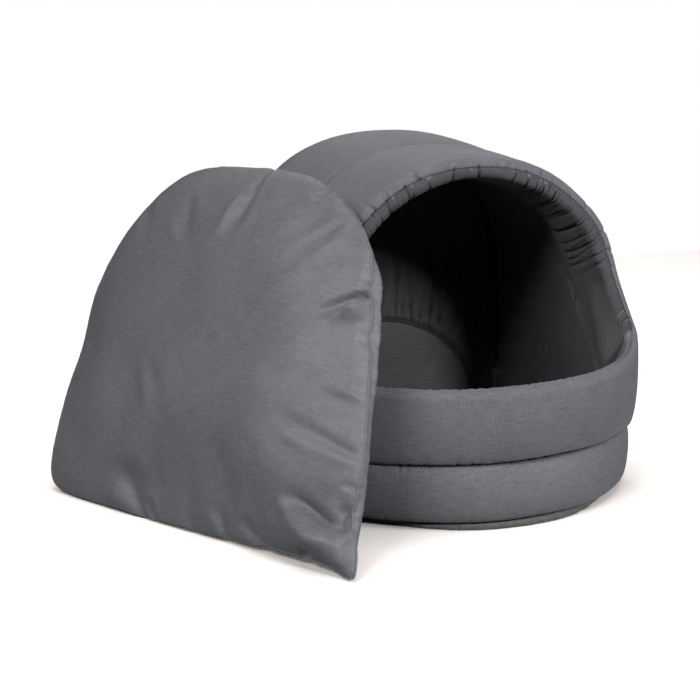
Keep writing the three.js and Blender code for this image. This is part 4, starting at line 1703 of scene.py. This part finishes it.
@dataclass
class Cushion:
    """Filled D-shaped cushion that stands on its straight edge and leans on the left of the hood."""

    finishes: Finishes
    foot: tuple[float, float] = (-407.0, 182.0)
    direction: tuple[float, float] = (187.0, -361.0)
    lean: float = math.radians(23.8)
    half_thickness: float = 31.0
    centre: tuple[float, float] = (183.0, 180.0)
    sink: float = 2.0
    crown_spread: float = 2.4
    crown_rounding: float = 0.55
    first_fill: float = 0.85
    cell: float = 5.0
    frames: int = 20
    pressure: float = 2.2
    slack: float = -0.006
    back_crown: float = 31.5
    outline: tuple[tuple[float, float], ...] = (
        (6, 3), (110, -1), (200, 2), (300, 9), (380, 9), (409, 3), (407, 24), (392, 60), (387, 104), (377, 148),
        (359, 216), (343, 268), (322, 318), (247, 371), (150, 379), (56, 363), (-5, 300), (-31, 222), (-28, 158),
        (-32, 100), (-20, 18),
    )
    # up, and how far the back panel stands out beyond the seam there, on the cushion's right
    side_heights: tuple[float, ...] = (
        20.0, 38.0, 50.0, 70.0, 92.0, 110.0, 134.0, 157.0, 178.0, 232.0, 275.0, 308.0, 340.0,
    )
    side_reaches: tuple[float, ...] = (0.0, 3.4, 7.1, 10.3, 11.7, 9.8, 10.3, 11.2, 12.8, 14.4, 13.0, 5.4, 0.0)
    side_width: float = 7.0
    side_depth: float = 0.5
    seam_radius: float = 1.0
    slack_seam_radius: float = 0.3
    # Height of the ridge beside a fold, as a share of the fold's depth
    ridge: float = 0.25
    # Below this height the cloth lies flatter and flatter on the floor
    lying: float = 6.0
    # along, up, reach along, reach up, height
    swellings: tuple[tuple[float, float, float, float, float], ...] = (
        (300.0, 200.0, 90.0, 95.0, 9.0),
        (266.0, 262.0, 38.0, 30.0, 3.0),
        (336.0, 250.0, 20.0, 11.0, 5.0),
        (374.0, 62.0, 50.0, 20.0, -8.0),
        (343.0, 30.0, 34.0, 16.0, 6.0),
        (200.0, 115.0, 160.0, 60.0, 4.0),
        (115.0, 36.0, 36.0, 18.0, -5.0),
    )
    # start_along, start_up, end_along, end_up, depth, width, and whether it starts inside; a ridge has a negative depth
    folds: tuple[Fold, ...] = (
        Fold(346, 272, 302, 233, 17.0, 4.6),
        Fold(348, 258, 316, 228, -5.0, 8.0, True),
        Fold(346, 281, 334, 268, 11.0, 4.4),
        Fold(360, 232, 350, 216, 11.0, 8.0),
        Fold(384, 165, 330, 174, -5.0, 6.5, True),
        Fold(298, 119, 350, 107, -2.0, 7.0, True),
        Fold(376, 115, 288, 138, 4.0, 8.0),
        Fold(394, 84, 372, 88, 5.0, 4.0),
        Fold(400, 70, 378, 60, 15.0, 5.0),
        Fold(402, 60, 374, 42, 11.0, 8.0),
        Fold(392, 42, 316, 62, 19.0, 11.0, True),
        Fold(306, 58, 396, 22, -8.0, 10.0, True),
        Fold(393, 50, 396, 16, 8.0, 5.0, True),
        Fold(396, 44, 398, 12, -4.0, 5.0, True),
        Fold(84, 342, 110, 282, 3.2, 10.0, True),
        Fold(62, 322, 104, 268, -1.5, 10.0, True),
        Fold(160, 356, 144, 292, -4.0, 6.0, True),
        Fold(176, 362, 162, 292, 5.5, 7.0, True),
        Fold(178, 380, 166, 352, 6.0, 4.2),
        Fold(264, 368, 246, 350, 7.0, 4.0),
        Fold(282, 358, 288, 342, 4.0, 5.0),
        Fold(300, 336, 246, 284, 6.0, 8.0, True),
        Fold(348, 6, 352, 22, 7.0, 5.0),
        Fold(300, 5, 268, 32, 7.5, 7.0),
        Fold(250, 4, 234, 40, 4.0, 7.0),
        Fold(206, 2, 192, 22, 2.5, 7.0),
        Fold(150, 2, 136, 26, 6.0, 6.0),
        Fold(136, 0, 92, 60, 6.0, 13.0),
        Fold(96, 168, 134, 98, -1.5, 9.0, True),
        Fold(116, 164, 148, 98, 0.9, 10.0, True),
        Fold(-20, 118, 22, 126, 3.0, 12.0),
        Fold(20, 318, 50, 276, 2.0, 13.0),
    )
    uneven: Unevenness = Unevenness(95, 80.0, 0.7)

    def rim(self) -> np.ndarray:
        """Draws the sewn outline as a smooth closed line.

        Returns:
            Points (along, up) at even distances of about one cell.
        """
        knots = np.array(self.outline, float)
        count = len(knots)
        line = []
        for i in range(count):
            p = [knots[(i + k - 1) % count] for k in range(4)]
            steps = [max(np.linalg.norm(p[k + 1] - p[k]), 1e-4) ** 0.5 for k in range(3)]
            t = np.concatenate([[0.0], np.cumsum(steps)])
            u = np.linspace(t[1], t[2], 40, endpoint=False)[:, None]
            a = [mix(p[k], p[k + 1], (u - t[k]) / (t[k + 1] - t[k])) for k in range(3)]
            b = [mix(a[k], a[k + 1], (u - t[k]) / (t[k + 2] - t[k])) for k in range(2)]
            line.append(mix(b[0], b[1], (u - t[1]) / (t[2] - t[1])))
        dense = np.concatenate([*line, line[0][:1]])
        lengths = lengths_along(dense)
        steps = int(lengths[-1] / self.cell)
        even = np.arange(steps) * lengths[-1] / steps
        return np.stack([np.interp(even, lengths, dense[:, k]) for k in range(2)], -1)

    def scale_of(self, places: np.ndarray, rim: np.ndarray) -> np.ndarray:
        """Tells how far out from the middle places are.

        Args:
            places: Places (along, up).
            rim: The sewn outline.

        Returns:
            0 in the middle and 1 on the outline.
        """
        middle = np.array(self.centre)
        edge = rim - middle
        turns = np.unwrap(np.arctan2(edge[:, 1], edge[:, 0]))
        order = np.argsort(turns % (2 * np.pi))
        reach = np.linalg.norm(edge, axis=1)
        inner = places - middle
        found = np.arctan2(inner[:, 1], inner[:, 0]) % (2 * np.pi)
        limit = np.interp(found, turns[order] % (2 * np.pi), reach[order], period=2 * np.pi)
        return np.clip(np.linalg.norm(inner, axis=1) / limit, 0.0, 1.0)

    def crown(self, scale: np.ndarray) -> np.ndarray:
        """Gives half the cushion's thickness at a share of the way out."""
        return self.half_thickness * (1.0 - scale**self.crown_spread) ** self.crown_rounding

    def panels(self) -> tuple[np.ndarray, np.ndarray, np.ndarray, int]:
        """Lays out the two cloth panels.

        Returns:
            Places (along, up, depth) of all points, the front faces, the back faces and the rim's count.
        """
        rim = self.rim()
        low, high = rim.min(0), rim.max(0)
        us, vs = np.meshgrid(np.arange(low[0], high[0], self.cell), np.arange(low[1], high[1], self.cell * 0.87))
        us = us + (np.arange(us.shape[0]) % 2)[:, None] * self.cell / 2
        grid = np.stack([us.ravel(), vs.ravel()], -1)
        scale = self.scale_of(grid, rim)
        gap = np.min(np.linalg.norm(grid[:, None, :] - rim[None, :, :], axis=-1), axis=1)
        inside = grid[(scale < 0.999) & (gap > 0.62 * self.cell)]
        count = len(rim)
        edges = [(i, (i + 1) % count) for i in range(count)]
        flat = [Vector(p) for p in np.concatenate([rim, inside])]
        verts, _, faces, *_ = delaunay_2d_cdt(flat, edges, [list(range(count))], 1, 1e-5)
        places = np.array([tuple(v) for v in verts])
        triangles = np.array([f for f in faces if len(f) == 3])
        thick = self.first_fill * self.crown(self.scale_of(places, rim))
        thick[:count] = 0.0
        front = np.column_stack([places, -thick])
        back = np.column_stack([places[count:], thick[count:]])
        behind = np.where(triangles < count, triangles, triangles + len(places) - count)
        return np.concatenate([front, back]), triangles[:, ::-1], behind, count

    def swollen(self, points: np.ndarray, faces: np.ndarray, rim_count: int) -> np.ndarray:
        """Fills the cover by cloth simulation, with its seam held in place.

        Args:
            points: Places (along, up, depth) in millimetres.
            faces: Triangles.
            rim_count: How many of the first points are on the seam.

        Returns:
            The settled places.
        """
        cover = add_object("cover", plain_mesh("cover", points * MM, faces))
        seam = cover.vertex_groups.new(name="seam")
        seam.add(list(range(rim_count)), 1.0, "REPLACE")
        cloth = cover.modifiers.new("cloth", "CLOTH")
        values = {
            "quality": 6,
            "mass": 0.25,
            "tension_stiffness": 28.0,
            "compression_stiffness": 12.0,
            "shear_stiffness": 9.0,
            "bending_stiffness": 1.6,
            "use_pressure": True,
            "uniform_pressure_force": self.pressure,
            "shrink_min": self.slack,
            "vertex_group_mass": "seam",
        }
        for key, value in values.items():
            setattr(cloth.settings, key, value)
        cloth.settings.effector_weights.gravity = 0.0
        cloth.point_cache.frame_start = 1
        cloth.point_cache.frame_end = self.frames
        for number in range(1, self.frames + 1):
            bpy.context.scene.frame_set(number)
        settled, _ = self.read_back(cover)
        bpy.context.scene.frame_set(1)
        return settled / MM

    @staticmethod
    def read_back(item: bpy.types.Object) -> tuple[np.ndarray, np.ndarray]:
        """Reads an object's mesh as its modifiers leave it, and removes the object.

        Args:
            item: The object.

        Returns:
            The points, and the corners of all faces in one row.
        """
        shown = item.evaluated_get(bpy.context.evaluated_depsgraph_get())
        mesh = shown.to_mesh()
        found = np.zeros(len(mesh.vertices) * 3, np.float32)
        mesh.vertices.foreach_get("co", found)
        corners = np.zeros(len(mesh.loops), np.int32)
        mesh.loops.foreach_get("vertex_index", corners)
        shown.to_mesh_clear()
        bpy.data.objects.remove(item)
        return found.reshape(-1, 3).astype(float), corners

    @staticmethod
    def calmed(points: np.ndarray, faces: np.ndarray, fixed: np.ndarray) -> np.ndarray:
        """Smooths the cover, most of all on its left, where the real one has no puckers.

        Args:
            points: Places (along, up, depth).
            faces: Triangles between them.
            fixed: Whether each point stays where it is.

        Returns:
            The smoothed places.
        """
        edges = np.concatenate([faces[:, [0, 1]], faces[:, [1, 2]], faces[:, [2, 0]]])
        count = np.zeros(len(points))
        np.add.at(count, edges[:, 0], 1.0)
        calm = 1.0 - smooth(points[:, 0], 60.0, 200.0)
        share = np.where(fixed, 0.0, 0.15 + 0.5 * calm)[:, None]
        for _ in range(14):
            total = np.zeros_like(points)
            np.add.at(total, edges[:, 0], points[edges[:, 1]])
            points = mix(points, total / count[:, None], share)
        return points

    @staticmethod
    def normals(points: np.ndarray, faces: np.ndarray) -> np.ndarray:
        """Finds the outward normals of points.

        Args:
            points: The points.
            faces: Four corners of each face between them.

        Returns:
            A unit normal for each point.
        """
        corners = points[faces]
        across = np.cross(corners[:, 2] - corners[:, 0], corners[:, 3] - corners[:, 1])
        total = np.zeros_like(points)
        for corner in range(4):
            np.add.at(total, faces[:, corner], across)
        return total / np.maximum(np.linalg.norm(total, axis=1, keepdims=True), 1e-9)

    def refined(self, points: np.ndarray, faces: np.ndarray) -> tuple[np.ndarray, np.ndarray]:
        """Divides the cover's triangles once, into rounder cloth.

        Args:
            points: Places (along, up, depth).
            faces: Triangles between them.

        Returns:
            The places, of which the given ones come first, and four corners for each face.
        """
        cover = add_object("cover", plain_mesh("cover", points, faces))
        smoothing = cover.modifiers.new("smoothing", "SUBSURF")
        smoothing.levels = smoothing.render_levels = 1
        rounder, corners = self.read_back(cover)
        return rounder, corners.reshape(-1, 4)

    def side_wall(self, points: np.ndarray, rim: np.ndarray) -> np.ndarray:
        """Lets the back panel stand out beyond the seam on the cushion's right.

        Args:
            points: Places (along, up, depth).
            rim: Places of the seam.

        Returns:
            The moved places.
        """
        ahead = np.roll(rim, -1, axis=0) - np.roll(rim, 1, axis=0)
        outward = np.stack([ahead[:, 1], -ahead[:, 0]], -1)
        outward /= np.linalg.norm(outward, axis=1, keepdims=True)
        outward *= np.sign(np.sum(outward * (rim[:, :2] - self.centre)))
        gaps = np.linalg.norm(points[:, None, :2] - rim[None, :, :2], axis=-1)
        nearest = np.argmin(gaps, axis=1)
        gap = gaps[np.arange(len(points)), nearest] / self.side_width
        reach = np.interp(points[:, 1], self.side_heights, self.side_reaches) * smooth(points[:, 0], 200.0, 300.0)
        push = reach * gap * np.exp(1.0 - gap) * smooth(points[:, 2], 0.0, 6.0)
        moved = points.copy()
        moved[:, :2] += outward[nearest] * push[:, None]
        moved[:, 2] += self.side_depth * push
        return moved

    def fold_in(self, points: np.ndarray, faces: np.ndarray, front: np.ndarray) -> np.ndarray:
        """Draws the folds into the front face.

        Args:
            points: Places (along, up, depth).
            faces: Four corners of each face between them.
            front: 1 for each point of the front face and its seam, else 0.

        Returns:
            The folded places.
        """
        inside = smooth(np.abs(points[:, 2]), 0.0, 9.0)
        height = self.uneven.height(points) * inside
        for along, up, wide, tall, swelling in self.swellings:
            spread = ((points[:, 0] - along) / wide) ** 2 + ((points[:, 1] - up) / tall) ** 2
            height += swelling * np.exp(-spread) * front * inside
        for fold in self.folds:
            start = np.array([fold.start_along, fold.start_up], float)
            line = np.array([fold.end_along, fold.end_up]) - start
            length = float(np.linalg.norm(line))
            line /= length
            aside_of = points[:, :2] - start
            share = np.clip(aside_of @ line / length, 0.0, 1.0)
            off = aside_of - share[:, None] * length * line
            gap = np.linalg.norm(off, axis=1)
            side = aside_of @ np.array([-line[1], line[0]])
            width = fold.width * (0.6 + 0.7 * share)
            fade = (1.0 - share**1.5) * front * (0.35 + 0.65 * inside)
            fade *= smooth(share, 0.0, 0.45) if fold.inside else 1.0
            valley = np.exp(-((gap / width) ** 2))
            beyond = np.maximum(gap - np.abs(side), 0) / width
            ridge = self.ridge * np.exp(-(((side - 1.7 * width) / width) ** 2) - beyond**2)
            height -= fold.depth * fade * (valley - ridge)
        return points + self.normals(points, faces) * height[:, None]

    def placed(self, points: np.ndarray) -> np.ndarray:
        """Stands the cushion up beside the house.

        Args:
            points: Places (along, up, depth).

        Returns:
            Points in millimetres from the doorway plane.
        """
        dx, dy = np.array(self.direction) / np.linalg.norm(self.direction)
        along, up, depth = points.T
        reach = up * math.sin(self.lean) + depth * math.cos(self.lean)
        x = self.foot[0] + dx * along - dy * reach
        y = self.foot[1] + dy * along + dx * reach
        z = up * math.cos(self.lean) - depth * math.sin(self.lean) - self.sink
        z = np.where(z < self.lying, self.lying * np.exp((z - self.lying) / self.lying), z)
        return np.stack([x, y, np.maximum(z, 0.3)], -1)

    def build(self) -> None:
        """Builds the cushion."""
        points, ahead, behind, count = self.panels()
        faces = np.concatenate([ahead, behind])
        first = points.copy()
        points = self.swollen(points, faces, count)
        log.info("cushion: %d points, depth %.1f to %.1f", len(points), points[:, 2].min(), points[:, 2].max())
        on_rim = np.arange(len(points)) < count
        front = ~on_rim & (first[:, 2] < 0)
        points = self.calmed(points, faces, on_rim)
        behind_rim = ~on_rim & ~front
        points[behind_rim, 2] *= self.back_crown / points[behind_rim, 2].max()
        points, faces = self.refined(points, faces)
        flat = points[:, :2].copy()
        points = self.side_wall(points, points[:count])
        points = self.fold_in(points, faces, (points[:, 2] <= 0.05).astype(float))
        placed = to_row_frame(self.placed(points))
        cushion = surface_object("filled_cushion", placed, faces, flat[faces] * MM, weld=False)
        dress(cushion, self.finishes.cushion, ["cushion"])
        self.seam_edge(points[:count])

    def seam_edge(self, rim: np.ndarray) -> None:
        """Lays the narrow sewn edge along the seam.

        Args:
            rim: Places (along, up, depth) of the seam.
        """
        looped = np.concatenate([rim, rim[:1]])
        places = np.arange(2 * len(rim)) / 2
        line = np.stack([np.interp(places, np.arange(len(looped)), looped[:, k]) for k in range(3)], -1)
        ahead = np.roll(line, -1, axis=0) - np.roll(line, 1, axis=0)
        ahead /= np.linalg.norm(ahead, axis=1, keepdims=True)
        through = np.array([0.0, 0.0, 1.0])
        outward = np.cross(ahead, through)
        outward /= np.linalg.norm(outward, axis=1, keepdims=True)
        outward *= np.sign(np.sum(outward[:, :2] * (line[:, :2] - self.centre)))
        angle = np.linspace(0.0, 2 * np.pi, 8, endpoint=False)[None, :, None]
        ring = 1.6 * np.cos(angle) * outward[:, None] + np.sin(angle) * through
        width = mix(self.slack_seam_radius, self.seam_radius, smooth(line[:, 0], 230.0, 310.0))[:, None, None]
        rows = line[:, None] + width * ring
        edge = tube_object("cushion_seam_edge", self.placed(rows.reshape(-1, 3)).reshape(rows.shape), True)
        dress(edge, self.finishes.cushion)


@dataclass
class Stitching:
    """Rows of stitches on the seams that show."""

    form: HouseForm
    finishes: Finishes
    works: NodeWorks
    hood: FrontHood
    spacing: float = 0.0042
    samples: int = 900

    def row(self, name: str, points: np.ndarray, closed: bool, seed: int) -> None:
        """Sews one row.

        Args:
            name: Name of the piece.
            points: Points of the seam, in millimetres.
            closed: Whether the row runs all around.
            seed: Seed of the small differences between stitches.
        """
        curve = bpy.data.curves.new(name, "CURVE")
        curve.dimensions = "3D"
        spline = curve.splines.new("POLY")
        places = to_row_frame(points)
        spline.points.add(len(places) - 1)
        spline.points.foreach_set("co", np.column_stack([places, np.ones(len(places))]).astype(np.float32).ravel())
        spline.use_cyclic_u = closed
        # The near-black thread stands in for the shade in the seam grooves
        seam_shade_thread = self.finishes.seam_shade_thread
        values = {"Spacing": self.spacing, "Seed": seed, "Material": seam_shade_thread}
        dress(NodeWorks.run(add_object(name, curve), self.works.stitches, name, **values), seam_shade_thread)

    def build(self) -> None:
        """Sews the rows on the lip, around the low seam and over the roof."""
        form, hood = self.form, self.hood
        lines = (*hood.stations(0.0), *hood.stations(form.wall))
        ring, _, _ = hood.section(lines, 0.35)
        tip = hood.channel_columns + hood.roll_columns - 2
        spare = hood.wall_sections // 3
        seam = ring[hood.wall_sections - spare : hood.wall_sections + hood.arch_sections + spare, tip]
        self.row("lip_stitches", seam, False, 91)
        turns = form.around(self.samples)
        deep = mix(hood.draw, hood.side_draw, smooth(np.abs(turns), 0.3, 0.42))
        self.row("low_seam_stitches", form.footprint(turns, deep - 2.0, form.low_seam), True, 92)
        parts = np.linspace(0.004, 0.996, self.samples)
        groove = form.groove(parts, hood.draw_at(form.groove(parts, 0.0, 0.0)[:, 2]) - 0.6, 0.0)
        self.row("groove_stitches", groove, False, 93)


@dataclass(frozen=True)
class Lamp:
    """A round soft lamp that faces the object.

    Azimuth is measured in degrees from the front towards the right, elevation upwards from the floor.
    """

    name: str
    azimuth: float
    elevation: float
    size: float
    power: float
    distance: float = 3.0
    aim: tuple[float, float, float] = (0.0, -0.1, 0.15)

    def build(self) -> bpy.types.Object:
        """Hangs the lamp.

        Returns:
            The lamp.
        """
        data = bpy.data.lights.new(self.name, "AREA")
        data.shape = "DISK"
        data.size = self.size
        data.energy = self.power
        lamp = add_object(self.name, data)
        turn, rise = math.radians(self.azimuth), math.radians(self.elevation)
        away = Vector((math.sin(turn) * math.cos(rise), -math.cos(turn) * math.cos(rise), math.sin(rise)))
        lamp.location = Vector(self.aim) + away * self.distance
        lamp.rotation_euler = (-away).to_track_quat("-Z", "Y").to_euler()
        return lamp


@dataclass
class Studio:
    """Camera, floor and soft lamps."""

    camera_place: tuple[float, float, float] = (-0.76662, -1.60507, 0.55592)
    camera_turn: tuple[float, float] = (76.73, -22.41)
    lens: float = 85.93
    floor_reach: float = 1.1
    floor_level: float = -0.0002
    floor_colour: tuple[float, float, float] = (0.96, 0.91, 0.875)
    bounce_colour: tuple[float, float, float] = (0.14, 0.14, 0.14)
    lamps: tuple[Lamp, ...] = (
        Lamp("key", 14.0, 30.5, 0.6, 50.0),
        Lamp("left_softbox", -68.0, 36.0, 1.2, 34.0),
        Lamp("right_softbox", 50.0, 22.0, 0.5, 22.0),
        Lamp("rear_softbox", 180.0, 60.0, 1.2, 20.0),
        Lamp("left_spot", -50.0, 36.0, 0.5, 14.0),
    )
    floor_lamp: Lamp = Lamp("floor_softbox", 0.0, 90.0, 3.6, 97.0)

    def camera(self) -> None:
        """Sets the camera where the photograph was taken from."""
        data = bpy.data.cameras.new("camera")
        data.lens = self.lens
        data.sensor_width = 36.0
        data.clip_start = 0.05
        data.clip_end = 100.0
        camera = add_object("camera", data)
        camera.location = self.camera_place
        pitch, yaw = (math.radians(v) for v in self.camera_turn)
        camera.rotation_euler = (pitch, 0.0, yaw)
        bpy.context.scene.camera = camera

    def floor_material(self) -> bpy.types.Material:
        """Makes the floor's finish: pale to the camera, and less pale to the light that it sends back.

        Returns:
            The material.
        """
        material, tree, shader = start_material("pale_floor")
        seen = new_node(tree, "ShaderNodeLightPath").outputs["Is Camera Ray"]
        feeds = {"Factor": seen, 6: (*self.bounce_colour, 1.0), 7: (*self.floor_colour, 1.0)}
        colour = new_node(tree, "ShaderNodeMix", feeds, data_type="RGBA").outputs[2]
        for key, value in {"Base Color": colour, "Roughness": 1.0, "Specular IOR Level": 0.0}.items():
            wire(tree, value, shader.inputs[key])
        return material

    def floor(self) -> bpy.types.Object:
        """Lays the pale floor.

        Returns:
            The floor.
        """
        square = ((-1, -1), (1, -1), (1, 1), (-1, 1))
        corners = [(x * self.floor_reach, y * self.floor_reach, self.floor_level) for x, y in square]
        mesh = plain_mesh("floor", np.array(corners), np.arange(4)[None])
        mesh.materials.append(self.floor_material())
        floor = add_object("floor", mesh)
        return floor

    def surroundings(self) -> None:
        """Makes the surroundings white to the camera and dark to everything else."""
        world = bpy.data.worlds.new("studio")
        bpy.context.scene.world = world
        world.use_nodes = True
        tree = world.node_tree
        seen = new_node(tree, "ShaderNodeLightPath")
        wire(tree, seen.outputs["Is Camera Ray"], tree.nodes["Background"].inputs["Strength"])
        tree.nodes["Background"].inputs["Color"].default_value = (1.0, 1.0, 1.0, 1.0)

    def build(self) -> None:
        """Sets everything up."""
        self.camera()
        floor = self.floor()
        self.surroundings()
        for lamp in self.lamps:
            lamp.build()
        only_floor = bpy.data.collections.new("lit_by_floor_softbox")
        only_floor.objects.link(floor)
        self.floor_lamp.build().light_linking.receiver_collection = only_floor
        bpy.context.scene.view_settings.view_transform = "Standard"


def main() -> None:
    """Builds the studio and every piece in order."""
    logging.basicConfig(level=logging.INFO, format="%(name)s: %(message)s")
    form = HouseForm()
    finishes = Finishes()
    works = NodeWorks()
    hood = FrontHood(form, finishes)
    Studio().build()
    FeltBase(form, finishes, works).build()
    LowerWall(form, finishes).build()
    hood.build()
    BackHood(form, finishes, hood).build()
    BackPanel(form, finishes).build()
    HoodLining(form, finishes, hood).build()
    BackLining(form, finishes).build()
    FloorPanel(form, finishes).build()
    Stitching(form, finishes, works, hood).build()
    Cushion(finishes).build()


if __name__ == "__main__":
    main()
